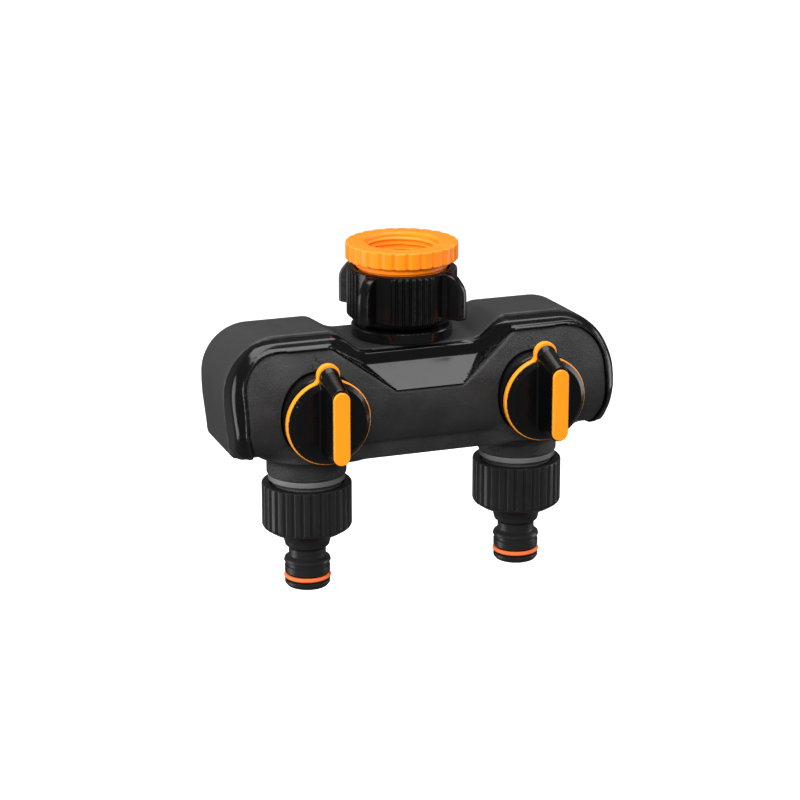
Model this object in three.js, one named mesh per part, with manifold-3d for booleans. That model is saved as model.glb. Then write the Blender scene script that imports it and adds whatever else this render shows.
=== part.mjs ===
// Hose splitter: two quarter-turn valves on one tap, with a swivel nut above and click nipples below.
// Millimetres. X is the width, +Y points to the back, +Z is up. The origin is on the tap axis, at the seat on top.
import * as THREE from 'three';
import { mergeVertices } from 'three/addons/utils/BufferGeometryUtils.js';
import { ConvexGeometry } from 'three/addons/geometries/ConvexGeometry.js';
import Module from 'manifold-3d';

const wasm = await Module();
wasm.setup();

// ---------------------------------------------------------------- driving dimensions
const GAP = 0.3;                 // clearance between neighbouring pieces
const WALL = 2.2;                // casing wall
const OUTLET_X = 41;             // half the spacing of the outlets
const OUTLET_Y = -11.8;          // outlet axis
const KNOB_Z = -53.4;            // height of the valve axis
const BACK_Y = 17;               // back face of the casing
const PARTING_Y = -16;           // joint between rear shell and bezel
const PARTING_GAP = 0.15;        // each part stands this far from the parting
const HALF_WIDTH = 72.9;         // casing half width at the parting
const DECK_Z = -34.5;            // deck under the collar
const HUMP_Z = -26.4;            // top of the humps at the parting
const FLOOR_Z = -70.5;           // casing bottom
const FAR = 100;                 // reach of a cut that goes right through
const SIDES = [['left', -1], ['right', 1]];

const ROUND = 26;                // segments of the round pieces that show
const INNER = 18;                // segments of the round pieces inside
const SMALL = 14;                // segments of small round pieces
const HOLE = 12;                 // segments of screw holes

const REDUCER = { flange: 20.5, flangeBottom: -6.2, teeth: 26, notch: 0.75, neck: 16.9, neckBottom: -8.8,
  male: 16.2, chamfer: 0.8, bottom: -20.6, entry: 13.7, entryDeep: -0.4, firstThread: -1.6, minor: 12.15,
  major: 13.2, pitch: 1.814, socketBottom: -12.4, bore: 8.6 };
// Share of a tooth, and share of its depth.
const NOTCH_SHAPE = [[0, 0], [0.55, 0], [0.66, 0.7], [0.775, 1], [0.89, 0.7]];
const TAP_WASHER = { outer: 11.9, inner: 8, bottom: -12.3, top: -10.1 };

const NUT = { top: -9.1, bottom: -29, body: 19.4, rib: 0.75, ribStep: 7, ribStart: 1.5, ribEnd: 5.5, ribs: 7,
  foot: 17.6, footStart: -26.8, bore: 16.6, mouth: 17.5, mouthDeep: 1.4, lipTop: -25.7, lipBore: 13.3,
  wings: 4, wingTurn: 37, wingThick: 4.2 };
const WING_SIDE = [[18, -9.5], [20.6, -9.6], [23.9, -10.9], [26, -12.8], [27, -15.6], [27, -26], [18, -26]];
const INLET_WASHER = { outer: 15.7, inner: 8, bottom: -23.45, top: -20.75 };
const CLIP = { outer: 16, inner: 11.8, bottom: -25.3, top: -24.3, mouth: 9 };

const SPIGOT = { bore: 7.5, top: -23.6, tube: 12.9, grooveTop: -24.2, grooveBottom: -25.4, groove: 11.6,
  collarTop: -30.1, collar: 18.5, collarChamfer: 0.7, collarBottom: -34.2, plug: 10.2, ringTop: -39.6,
  ringBottom: -41.6, ringGroove: 8.9, bottom: -44.6 };
const SPIGOT_O_RING = { radius: 9.7, section: 0.66, z: -40.6 };

const MANIFOLD = { socketOuter: 12.2, socketBore: 10.5, socketTop: -38.3, socketFoot: -60.4, inletBore: 8,
  inletFloor: -57.9, crossY: -8, crossOuter: 9.8, crossBore: 6.5, chamberOuter: 13.4, chamberBore: 11.4,
  chamberBack: 5.5, chamberFloor: 2.5, chamberFront: -23.6, outletTube: 12, outletThread: 13.1, chamfer: 0.8,
  outletBore: 6.2, seatBore: 7.9, seatLedge: -69, threadTop: -82.2, bottom: -96.4 };
const PLUG = { barrel: 10.9, back: 2.1, front: -22, port: 6, stem: 5.6, stemFront: -32.2, drive: 3.9,
  driveFront: -36.3, grooveDepth: 1.3, grooveHalf: 1, rearGroove: 0.6, frontGroove: -20.6, screwHole: 1.7,
  screwDeep: 9.5, clearance: 0.35 };
const PLUG_O_RING = { radius: 10.42, section: 0.66 };
const SEAT = { outer: 7.7, inner: 6.4, bottom: -68.8, top: -57.4 };
const BONNET = { skirt: 15, front: -33.3, back: -24, neck: 10.9, neckBack: -22.3, bore: 5.95 };

const CASING = { rampFoot: 22, rampHead: 33, rampEase: 1.8, rampLift: 0.5, corner: 20.5, cornerGrowth: -2.5,
  hollow: 1.2, fall: 2.2, sideTaper: 0.6, footCorner: 7.4, footIn: 1.8, backEdge: 4, backEdgeDeep: 3.6, hollowEdge: 3.6 };
const END_FACE = [[0, -50], [-0.6, -58], [-1.6, -63]];            // how far in from the half width, and the height
// Side view of the front: Y, Z and how an inset moves the point up or down.
const FRONT_SECTION = [[-12, -25, -1], [-16, -26.5, -1], [-19.8, -28.1, -1], [-21, -29, -0.8], [-22.2, -31, 0],
  [-25.6, -36, 0], [-28.7, -42, 0], [-30.4, -47, 0], [-31.5, -53, 0], [-31.3, -58, 0], [-29.7, -62.6, 0],
  [-27, -66.6, 0.4], [-24.5, -68.6, 1], [-21, -69.5, 1], [-12, FLOOR_Z, 1]];
// Top view of the front: X, Y and how an inset moves the point in and back.
const END_PLAN = [[60, -45, 0, 0], [60, -31.6, 0, 1], [66, -31.2, 0, 1], [69, -29.9, 0, 1], [71.4, -27.6, 1, 0.6],
  [72.8, -24.4, 1, 0], [73.2, -20, 1, 0], [72.9, -11, 1, 0]];
// Front view of the opening that the panel fills, right half: a round top corner between two runs of points.
const OPENING = { inner: [[12.6, -47.1], [34.8, -31.2], [54, -31]], cornerX: 55.6, cornerZ: -44, corner: 13,
  outer: [[68.4, -58], [66.6, -64], [63, -80]], footHalf: 63, footDeep: 4.5 };
// Space above the smooth plate: corners at X, Y, Z, the same on both sides.
const PLATE_SPACE = [[12.6, -30.5, -47.2], [12.6, -60, -47.2], [21.6, -20, -39], [21.6, -18.6, -35.4],
  [22.5, -15, DECK_Z], [34.8, -22.2, -31.2], [34.8, -60, -31.2], [34, -19, -26], [34, -60, -26], [24, -14, -26]];
const LOWER_LIP = { y: -24.9, depth: 3.2, width: 70, bottom: -72.4, top: -67.4 };
const BOSS = { radius: 14.5, bore: 12.4, boreTop: -60.3, bottom: -79.1, chamfer: 0.6, flare: 19.4, top: -58 };
const BOSS_FILLET = [[14.5, -74.8], [15.3, -72.9], [16.9, -71.4], [19.4, -70.6], [19.4, -68.4], [14.5, -67]];
const CHAMBER_ROOM = 0.4;        // clearance of the panel round the valve chambers
const CROSS_ROOM = 0.5;          // clearance of the panel round the cross tube
const SCREW = { x: 61.6, z: [-42, -61.5], head: 3.3, shank: 1.5, post: 4, seatY: 13.4, tipY: -17, headThick: 2.3,
  postFront: -5.8, postBack: -6.2, headEdge: 0.6, headRound: 0.8, slot: 0.9, slotLong: 3.6, slotDeep: 2.4 };

const KNOB = { base: 15, baseBack: -33.6, baseFront: -35.5, ring: 15.5, ringBack: -35.65, ringFront: -37.8,
  pipHalf: 4.2, pipTop: 21.2, disc: 15.1, discBack: -37.95, discEdge: -38.4, bevel: 13.3, discFront: -39.6,
  bar: 3.45, barTop: 20.2, barBottom: -12.2, barFront: -50.8, screwRoom: 3, screwRoomDeep: -39,
  stripHalf: 3, stripTop: 14.6, stripBottom: -11.7, stripBack: -50.95, stripFront: -51.9, socket: 4.2 };
const KNOB_SCREW = [[0, -27.4], [1.4, -28.4], [1.4, -36.4], [2.6, -36.4], [2.6, -37.3], [2, -37.7], [0, -37.7]];

const ADAPTER = { top: -82.7, skirt: -98.6, radius: 16.35, flutes: 30, flute: 0.65, bore: 13.45, floor: -99,
  nippleBore: 5.4, bottom: -122.4 };
const FLUTE_SHAPE = [[0.05, 0], [0.6, 0], [0.8, 1]];
const NIPPLE = [[15.6, -97.6], [15.6, -98.6], [15.1, -99.5], [13.2, -101.2], [9.9, -102.4], [8.8, -103.9],
  [8.1, -106.6], [6.8, -107.8], [6.8, -110.7], [8.3, -111.8], [8.6, -112.9], [7.8, -113.1], [7.8, -114.4],
  [8.3, -114.7], [8.3, -117.2], [6.95, -117.2], [6.95, -120], [8.3, -120], [7.4, -122.4]];
const NIPPLE_O_RING = { radius: 7.83, section: 0.78, z: -118.6 };
const OUTLET_WASHER = { outer: 13, inner: 7, bottom: -98.85, top: -96.55 };
const OUTLET_RING = { outer: 14, inner: 12.3, bottom: -81.4, top: -79.35, mouth: 5 };

// ---------------------------------------------------------------- materials
const COLOURS = {
  orange: [0xff8f1e, 0.45], strip: [0xffa028, 0.5], seal: [0xff8246, 0.6], satin: [0x343435, 0.5],
  gloss: [0x0c0c0d, 0.18], grain: [0x161617, 0.7], nut: [0x0b0b0c, 0.3], adapter: [0x101011, 0.45],
  ring: [0x5a5a5b, 0.55], inner: [0x39393b, 0.55], plug: [0xd9d6cc, 0.4], rubber: [0x1b1b1b, 0.85],
  steel: [0xb4b7ba, 0.3],
};

function material(key) {
  const [colour, roughness] = COLOURS[key];
  return new THREE.MeshStandardMaterial({ color: colour, roughness, metalness: key === 'steel' ? 1 : 0 });
}

// ---------------------------------------------------------------- solids
// Triangles without slivers, all facing outwards.
function cleanIndex(geometry) {
  const position = geometry.getAttribute('position');
  const index = Array.from(geometry.getIndex().array);
  const kept = [];
  let volume = 0;
  const corner = [new THREE.Vector3(), new THREE.Vector3(), new THREE.Vector3()];
  for (let i = 0; i < index.length; i += 3) {
    const [a, b, c] = index.slice(i, i + 3);
    if (a !== b && b !== c && a !== c) {
      [a, b, c].forEach((n, k) => corner[k].fromBufferAttribute(position, n));
      volume += corner[0].dot(corner[1].clone().cross(corner[2]));
      kept.push(a, b, c);
    }
  }
  if (volume > 0) {
    return kept;
  }
  for (let i = 0; i < kept.length; i += 3) {
    [kept[i], kept[i + 1]] = [kept[i + 1], kept[i]];
  }
  return kept;
}

function solid(source) {
  let geometry = source.index ? source : source.clone();
  geometry.deleteAttribute('normal');
  geometry.deleteAttribute('uv');
  geometry = mergeVertices(geometry, 1e-4);
  return new wasm.Manifold(new wasm.Mesh({
    numProp: 3,
    vertProperties: new Float32Array(geometry.getAttribute('position').array),
    triVerts: new Uint32Array(cleanIndex(geometry)),
  }));
}

function toGeometry(body) {
  const mesh = body.simplify(0.02).getMesh();
  const geometry = new THREE.BufferGeometry();
  geometry.setAttribute('position', new THREE.BufferAttribute(new Float32Array(mesh.vertProperties), 3));
  geometry.setIndex(new THREE.BufferAttribute(new Uint32Array(mesh.triVerts), 1));
  const flat = geometry.toNonIndexed();
  flat.computeVertexNormals();
  return flat;
}

const X_AXIS = new THREE.Vector3(1, 0, 0);
const Y_AXIS = new THREE.Vector3(0, 1, 0);
const Z_AXIS = new THREE.Vector3(0, 0, 1);
const ALONG_X = new THREE.Matrix4().makeBasis(Y_AXIS, Z_AXIS, X_AXIS);                  // drawn in Y, Z
const ALONG_Y = new THREE.Matrix4().makeBasis(X_AXIS, Z_AXIS, Y_AXIS.clone().negate()); // drawn in X, Z
const ALONG_Z = new THREE.Matrix4();                                                    // drawn in X, Y

function outline(points) {
  return new THREE.Shape(points.map(([x, y]) => new THREE.Vector2(x, y)));
}

function extruded(points, frame, from, to) {
  const geometry = new THREE.ExtrudeGeometry(outline(points), { depth: Math.abs(to - from), bevelEnabled: false });
  geometry.translate(0, 0, frame === ALONG_Y ? -Math.max(from, to) : Math.min(from, to));
  geometry.applyMatrix4(frame);
  return geometry;
}

function extrude(points, frame, from, to) {
  return solid(extruded(points, frame, from, to));
}

// Turned piece: profile of [radius, height] round the vertical axis, closed on itself.
function turned(profile, segments = ROUND) {
  const points = [...profile, profile[0]].map(([r, z]) => new THREE.Vector2(r, z));
  const geometry = new THREE.LatheGeometry(points, segments);
  geometry.rotateX(Math.PI / 2);
  return solid(geometry);
}

function cylinder(radius, from, to, segments = ROUND) {
  const geometry = new THREE.CylinderGeometry(radius, radius, Math.abs(to - from), segments);
  geometry.rotateX(Math.PI / 2);
  geometry.translate(0, 0, (from + to) / 2);
  return solid(geometry);
}

// A piece made round the vertical axis, laid along +Y.
function laid(body) {
  return body.rotate([-90, 0, 0]);
}

function crossCylinder(radius, from, to, segments = SMALL) {
  return cylinder(radius, from, to, segments).rotate([0, 90, 0]);
}

function box(x, y, z, width, depth, height) {
  const geometry = new THREE.BoxGeometry(width, depth, height);
  geometry.translate(x, y, z);
  return solid(geometry);
}

function tube(outer, inner, from, to, segments = ROUND) {
  return turned([[inner, from], [outer, from], [outer, to], [inner, to]], segments);
}

function washer(size) {
  return tube(size.outer, size.inner, size.bottom, size.top);
}

function oRing(size, z) {
  return turned(arc(size.radius, z, size.section, 0, 300, 5), INNER);
}

function radians(degrees) {
  return (degrees * Math.PI) / 180;
}

function arc(cx, cy, radius, from, to, steps) {
  const points = [];
  for (let i = 0; i <= steps; i += 1) {
    const a = radians(from + ((to - from) * i) / Math.max(steps, 1));
    points.push([cx + radius * Math.cos(a), cy + radius * Math.sin(a)]);
  }
  return points;
}

function mirrored(half) {
  const other = half.map(([x, z]) => [-x, z]).reverse();
  return [...half, ...other];
}

function stadium(half, bottom, top, steps = 8) {
  return [...arc(0, top - half, half, 0, 180, steps), ...arc(0, bottom + half, half, 180, 360, steps)];
}

// Outline of a disc with a repeated dip in its rim; the shape lists [share of a step, share of the depth].
function scalloped(radius, depth, count, shape) {
  const points = [];
  for (let i = 0; i < count; i += 1) {
    for (const [share, dip] of shape) {
      points.push(...arc(0, 0, radius - depth * dip, ((i + share) / count) * 360, 0, 0));
    }
  }
  return points;
}

// ---------------------------------------------------------------- assembly
const group = new THREE.Group();
group.name = 'hose_splitter';

function place(name, body, key, x = 0, y = 0, z = 0) {
  const mesh = new THREE.Mesh(toGeometry(body), material(key));
  mesh.name = name;
  mesh.position.set(x, y, z);
  group.add(mesh);
  return mesh;
}

// ---------------------------------------------------------------- inlet
function tapReducer() {
  const r = REDUCER;
  const rim = scalloped(r.flange, r.notch, r.teeth, NOTCH_SHAPE);
  const male = [[0, r.flangeBottom], [0, r.bottom], [r.male - r.chamfer, r.bottom], [r.male, r.bottom + 1],
    [r.male, r.flangeBottom]];
  const socket = [[0, 1], [r.entry, 1], [r.entry, r.entryDeep]];
  for (let z = r.firstThread; z > r.socketBottom + r.pitch; z -= r.pitch) {
    socket.push([r.minor, z], [r.major, z - r.pitch / 2]);
  }
  socket.push([r.minor, r.socketBottom + 1], [r.minor, r.socketBottom], [r.bore, r.socketBottom]);
  socket.push([r.bore, r.bottom - 1], [0, r.bottom - 1]);
  return extrude(rim, ALONG_Z, r.flangeBottom, 0)
    .add(cylinder(r.neck, r.neckBottom, r.flangeBottom))
    .add(turned(male))
    .subtract(turned(socket));
}

// Outline of the nut's body: four plain stretches for the wings, with a group of grip ribs between them.
function nutOutline() {
  const n = NUT;
  const points = [];
  const quarter = 360 / n.wings;
  for (let q = 0; q < n.wings; q += 1) {
    const middle = n.wingTurn + quarter * (q + 0.5);
    const first = middle - (n.ribs / 2) * n.ribStep;
    points.push(...arc(0, 0, n.body, middle - quarter / 2, first - 1, 3));
    for (let i = 0; i < n.ribs; i += 1) {
      const start = first + i * n.ribStep;
      points.push(...arc(0, 0, n.body + n.rib, start + n.ribStart, start + n.ribEnd, 1));
      points.push(...arc(0, 0, n.body, start + n.ribStep, 0, 0));
    }
    points.push(...arc(0, 0, n.body, first + n.ribs * n.ribStep + 2, middle + quarter / 2 - 3, 2));
  }
  return points;
}

function inletNut() {
  const n = NUT;
  const foot = [[0, n.footStart + 1], [0, n.bottom], [n.foot, n.bottom], [n.body - 0.05, n.footStart],
    [n.body - 0.05, n.footStart + 1]];
  const bore = [[0, n.top + 1], [n.mouth, n.top + 1], [n.mouth, n.top - GAP], [n.bore, n.top - n.mouthDeep],
    [n.bore, n.lipTop], [n.lipBore, n.lipTop], [n.lipBore, n.bottom - 1], [0, n.bottom - 1]];
  const wing = extrude(WING_SIDE, ALONG_X, -n.wingThick / 2, n.wingThick / 2).rotate([0, 0, -90]);
  let body = extrude(nutOutline(), ALONG_Z, n.footStart, n.top).add(turned(foot));
  for (let q = 0; q < n.wings; q += 1) {
    body = body.add(wing.rotate([0, 0, n.wingTurn + (360 / n.wings) * q]));
  }
  return body.subtract(turned(bore));
}

function inletSpigot() {
  const s = SPIGOT;
  return turned([[s.bore, s.top], [s.tube, s.top], [s.tube, s.grooveTop], [s.groove, s.grooveTop],
    [s.groove, s.grooveBottom], [s.tube, s.grooveBottom], [s.tube, s.collarTop],
    [s.collar - s.collarChamfer, s.collarTop], [s.collar, s.collarTop - s.collarChamfer],
    [s.collar, s.collarBottom], [s.plug, s.collarBottom], [s.plug, s.ringTop], [s.ringGroove, s.ringTop],
    [s.ringGroove, s.ringBottom], [s.plug, s.ringBottom], [s.plug, s.bottom], [s.bore, s.bottom]]);
}

function nutClip() {
  const middle = (CLIP.top + CLIP.bottom) / 2;
  return washer(CLIP).subtract(box(0, CLIP.outer, middle, CLIP.mouth, CLIP.outer, CLIP.outer));
}

// ---------------------------------------------------------------- water body
function valveManifold() {
  const m = MANIFOLD;
  const thread = [[0, m.threadTop], [0, m.bottom], [m.outletThread - m.chamfer, m.bottom],
    [m.outletThread, m.bottom + 1], [m.outletThread, m.threadTop]];
  const crossTube = crossCylinder(m.crossOuter, -OUTLET_X, OUTLET_X, INNER);
  let body = cylinder(m.socketOuter, m.socketFoot, m.socketTop, INNER);
  body = body.add(crossTube.translate([0, m.crossY, KNOB_Z]));
  let cut = cylinder(m.socketBore, SPIGOT.bottom - GAP, m.socketTop + 1)
    .add(cylinder(m.inletBore, m.inletFloor, m.socketTop, SMALL))
    .add(crossCylinder(m.crossBore, -OUTLET_X, OUTLET_X, SMALL).translate([0, m.crossY, KNOB_Z]));
  for (const [, side] of SIDES) {
    const valve = [side * OUTLET_X, 0, KNOB_Z];
    const outlet = [side * OUTLET_X, OUTLET_Y, 0];
    body = body.add(laid(cylinder(m.chamberOuter, m.chamberFront, m.chamberBack, INNER)).translate(valve));
    body = body.add(cylinder(m.outletTube, m.bottom + 1, KNOB_Z, INNER).translate(outlet));
    body = body.add(turned(thread).translate(outlet));
    cut = cut.add(laid(cylinder(m.chamberBore, m.chamberFront - 1, m.chamberFloor, INNER)).translate(valve));
    cut = cut.add(cylinder(m.seatBore, m.seatLedge, KNOB_Z, SMALL).translate(outlet));
    cut = cut.add(cylinder(m.outletBore, m.bottom - 1, KNOB_Z, SMALL).translate(outlet));
  }
  return body.subtract(cut);
}

// Turned plug with two ring grooves; water comes in from the cross tube and leaves downwards.
function valvePlug(side) {
  const p = PLUG;
  const groove = (y) => [[p.barrel, y + p.grooveHalf], [p.barrel - p.grooveDepth, y + p.grooveHalf],
    [p.barrel - p.grooveDepth, y - p.grooveHalf], [p.barrel, y - p.grooveHalf]];
  const profile = [[0, p.back], [p.barrel, p.back], ...groove(p.rearGroove), ...groove(p.frontGroove),
    [p.barrel, p.front], [p.stem, p.front], [p.stem, p.stemFront], [p.drive, p.stemFront], [p.drive, p.driveFront],
    [0, p.driveFront]];
  const across = crossCylinder(p.port, 0, p.barrel + 2)
    .rotate([0, 0, side > 0 ? 180 : 0])
    .translate([0, MANIFOLD.crossY, 0]);
  const down = cylinder(p.port, -p.barrel - 2, 0, SMALL).translate([0, OUTLET_Y, 0]);
  return laid(turned(profile, INNER))
    .subtract(across)
    .subtract(down)
    .subtract(laid(cylinder(p.screwHole, p.driveFront - 1, p.driveFront + p.screwDeep, HOLE)));
}

function seatSeal() {
  const barrel = laid(cylinder(PLUG.barrel + PLUG.clearance, PLUG.front, BACK_Y, INNER));
  return tube(SEAT.outer, SEAT.inner, SEAT.bottom, SEAT.top, SMALL)
    .subtract(barrel.translate([0, -OUTLET_Y, KNOB_Z]));
}

function valveBonnet() {
  const b = BONNET;
  return laid(turned([[b.bore, b.neckBack], [b.neck, b.neckBack], [b.neck, b.back], [b.skirt, b.back],
    [b.skirt, b.front], [b.bore, b.front]]));
}

// ---------------------------------------------------------------- casing
// Front view of the casing, right half, from the deck over the hump and down the end face.
function casingHalf(inset) {
  const c = CASING;
  const width = HALF_WIDTH - inset;
  const low = DECK_Z - inset;
  const high = HUMP_Z - inset;
  const foot = c.rampFoot + inset / 2;
  const head = c.rampHead + inset / 2;
  const ramp = [[foot, low], [foot + c.rampEase, low + c.rampLift], [(foot + head) / 2, (low + high) / 2],
    [head - c.rampEase, high - c.rampLift], [head, high]];
  return [...ramp, ...arc(width - c.corner, high - c.corner, c.corner, 84, 6, 7),
    ...END_FACE.map(([x, z]) => [width + x, z]),
    ...arc(width - c.footIn - c.footCorner, FLOOR_Z + inset + c.footCorner, c.footCorner, 0, -84, 4)];
}

function casing(inset, from, to) {
  return extrude(mirrored(casingHalf(inset)), ALONG_Y, from, to);
}

// Towards the back the humps fall, the ends draw in and the top outer corners get tighter; the deck stays level.
function drawnIn(geometry, inset) {
  const c = CASING;
  const centreX = HALF_WIDTH - inset - c.corner;
  const centreZ = HUMP_Z - inset - c.corner;
  const position = geometry.getAttribute('position');
  const point = new THREE.Vector3();
  for (let i = 0; i < position.count; i += 1) {
    point.fromBufferAttribute(position, i);
    const share = Math.max(0, (point.y - PARTING_Y) / (BACK_Y - PARTING_Y));
    const out = Math.abs(point.x) - centreX;
    const up = point.z - centreZ;
    if (out > 0 && up > 0) {
      const size = Math.hypot(out, up);
      point.x -= Math.sign(point.x) * c.cornerGrowth * share * (1 - out / size);
      point.z -= c.cornerGrowth * share * (1 - up / size);
    }
    const height = THREE.MathUtils.clamp((point.z - DECK_Z + inset) / (HUMP_Z - DECK_Z), 0, 1);
    point.x *= 1 - (c.sideTaper * share) / HALF_WIDTH;
    point.z -= c.fall * share * height;
    position.setXYZ(i, point.x, point.y, point.z);
  }
  return solid(geometry);
}

// The casing as a block whose back edge is rounded; it starts a little in front of the parting.
function roundedCasing() {
  const c = CASING;
  const back = BACK_Y - c.backEdgeDeep;
  const geometry = new THREE.ExtrudeGeometry(outline(mirrored(casingHalf(0))), {
    depth: back - PARTING_Y - PARTING_GAP, bevelThickness: c.backEdgeDeep, bevelSize: c.backEdge,
    bevelOffset: -c.backEdge, bevelSegments: 3,
  });
  geometry.translate(0, 0, -back);
  geometry.applyMatrix4(ALONG_Y);
  return drawnIn(geometry, 0);
}

function hollow(inset, from, to) {
  return drawnIn(extruded(mirrored(casingHalf(inset)), ALONG_Y, from, to), inset);
}

function screwHole() {
  const head = laid(cylinder(SCREW.head + GAP, SCREW.seatY - SCREW.headThick, BACK_Y + 1, 16));
  return laid(cylinder(SCREW.shank + GAP, PARTING_Y, BACK_Y, HOLE)).add(head);
}

function rearShell() {
  const front = box(0, PARTING_Y + PARTING_GAP + FAR / 2, DECK_Z, 2 * FAR, FAR, FAR);
  const stepBack = BACK_Y - WALL - CASING.hollow;
  let body = roundedCasing().intersect(front)
    .subtract(hollow(WALL, PARTING_Y - 1, stepBack))
    .subtract(hollow(WALL + CASING.hollowEdge, 0, BACK_Y - WALL));
  for (const [, side] of SIDES) {
    for (const z of SCREW.z) {
      const post = laid(cylinder(SCREW.post, SCREW.postFront, BACK_Y - 1, 16));
      body = body.add(post.translate([side * SCREW.x, 0, z]));
    }
  }
  for (const [, side] of SIDES) {
    for (const z of SCREW.z) {
      body = body.subtract(screwHole().translate([side * SCREW.x, 0, z]));
    }
    const bossRoom = cylinder(BOSS.flare + GAP, FLOOR_Z - FAR, FLOOR_Z + WALL + 1);
    body = body.subtract(bossRoom.translate([side * OUTLET_X, OUTLET_Y, 0]));
  }
  return body.subtract(cylinder(SPIGOT.plug + GAP, MANIFOLD.socketTop, DECK_Z + WALL));
}

function openingHalf(inset) {
  const o = OPENING;
  return [...o.inner.map(([x, z]) => [x, z - inset]),
    ...arc(o.cornerX - inset, o.cornerZ - inset, o.corner, 80, 0, 5), ...o.outer.map(([x, z]) => [x - inset, z])];
}

function opening(inset) {
  return extrude(mirrored(openingHalf(inset)), ALONG_Y, PARTING_Y + 4, -FAR);
}

function plateSpace(shift) {
  const corners = [];
  for (const [, side] of SIDES) {
    corners.push(...PLATE_SPACE.map(([x, y, z]) => new THREE.Vector3(side * x, y + shift, z - shift)));
  }
  return solid(new ConvexGeometry(corners));
}

// The whole front before it is split into bezel and panel.
function frontMass(inset) {
  const section = FRONT_SECTION.map(([y, z, share]) => [y + inset, z + share * inset]);
  const plan = END_PLAN.map(([x, y, inward, back]) => [x - inward * inset, y + back * inset]);
  return casing(inset, PARTING_Y + 3, -FAR / 2)
    .intersect(extrude(section, ALONG_X, -FAR, FAR))
    .intersect(extrude(mirrored(plan), ALONG_Z, -FAR, 0));
}

// Everything behind the parting, which belongs to the rear shell.
function behindParting() {
  return box(0, PARTING_Y - PARTING_GAP + FAR / 2, DECK_Z, 2 * FAR, FAR, 2 * FAR);
}

function frontBezel() {
  const foot = 2 * OPENING.footDeep;
  return frontMass(0)
    .subtract(plateSpace(0))
    .subtract(frontMass(WALL).subtract(plateSpace(WALL)))
    .subtract(behindParting())
    .subtract(opening(0))
    .subtract(box(0, PARTING_Y, FLOOR_Z, 2 * OPENING.footHalf, 2 * -PARTING_Y, foot));
}

function outletBoss() {
  const b = BOSS;
  return turned([[0, b.top], [0, b.bottom], [b.radius - b.chamfer, b.bottom], [b.radius, b.bottom + b.chamfer],
    ...BOSS_FILLET, [b.radius, b.top]]);
}

// The panel gives way to the outlet, the valve chamber, the cross tube and the bonnet.
function panelRoom(side) {
  const m = MANIFOLD;
  const chamber = laid(cylinder(m.chamberOuter + CHAMBER_ROOM, BONNET.back - 2, BACK_Y));
  const bonnet = laid(cylinder(BONNET.skirt + GAP, -FAR, BONNET.back + CHAMBER_ROOM));
  const crossTube = crossCylinder(m.crossOuter + CROSS_ROOM, -OUTLET_X, OUTLET_X, ROUND);
  return cylinder(BOSS.bore, -FAR, BOSS.boreTop)
    .translate([side * OUTLET_X, OUTLET_Y, 0])
    .add(chamber.add(bonnet).translate([side * OUTLET_X, 0, KNOB_Z]))
    .add(crossTube.translate([0, m.crossY, KNOB_Z]));
}

function frontShell() {
  const lip = LOWER_LIP;
  const belowFloor = box(0, 0, FLOOR_Z + 0.4 - FAR / 2, 2 * FAR, FAR, FAR);
  const underside = box(0, 0, FLOOR_Z + 1.7 - FAR / 2, 2 * FAR, 2 * FAR, FAR);
  const room = frontMass(WALL).intersect(opening(GAP + WALL).subtract(underside));
  const postRoom = frontMass(0.5).add(box(0, 0, -50, 2 * SCREW.x + 11, 2 * -PARTING_Y, 34));
  let body = frontMass(0).intersect(opening(GAP)).subtract(room)
    .add(box(0, lip.y, (lip.top + lip.bottom) / 2, lip.width, lip.depth, lip.top - lip.bottom))
    .subtract(behindParting());
  for (const [, side] of SIDES) {
    const boss = outletBoss().translate([side * OUTLET_X, OUTLET_Y, 0]);
    body = body.add(boss.intersect(frontMass(0).add(belowFloor)));
  }
  for (const [, side] of SIDES) {
    body = body.subtract(panelRoom(side));
    for (const z of SCREW.z) {
      const post = laid(cylinder(SCREW.post, -FAR / 3, SCREW.postBack, SMALL));
      body = body.add(post.translate([side * SCREW.x, 0, z]).intersect(postRoom));
    }
    for (const z of SCREW.z) {
      const hole = laid(cylinder(SCREW.shank + GAP, SCREW.tipY - 1, 0, HOLE));
      body = body.subtract(hole.translate([side * SCREW.x, 0, z]));
    }
  }
  return body;
}

function casingScrew() {
  const s = SCREW;
  const under = s.seatY - s.headThick + 0.2;
  return laid(turned([[0, s.tipY], [s.shank, s.tipY + s.shank], [s.shank, under], [s.head, under],
    [s.head, s.seatY - s.headEdge], [s.head - s.headRound, s.seatY], [0, s.seatY]], 16))
    .subtract(box(0, s.seatY, 0, s.slotLong, s.slotDeep, s.slot))
    .subtract(box(0, s.seatY, 0, s.slot, s.slotDeep, s.slotLong));
}

// ---------------------------------------------------------------- knob
function knobBase() {
  const k = KNOB;
  return laid(tube(k.base, k.socket, k.baseFront, k.baseBack));
}

// Round ring with a rounded pip that stands up behind the bar.
function knobRing() {
  const k = KNOB;
  return extrude(arc(0, 0, k.ring, 0, 351, 39), ALONG_Y, k.ringBack, k.ringFront)
    .add(extrude(stadium(k.pipHalf, 0, k.pipTop), ALONG_Y, k.ringBack, k.ringFront))
    .subtract(laid(cylinder(k.socket, k.ringFront - 1, k.ringBack + 1, SMALL)));
}

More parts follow.
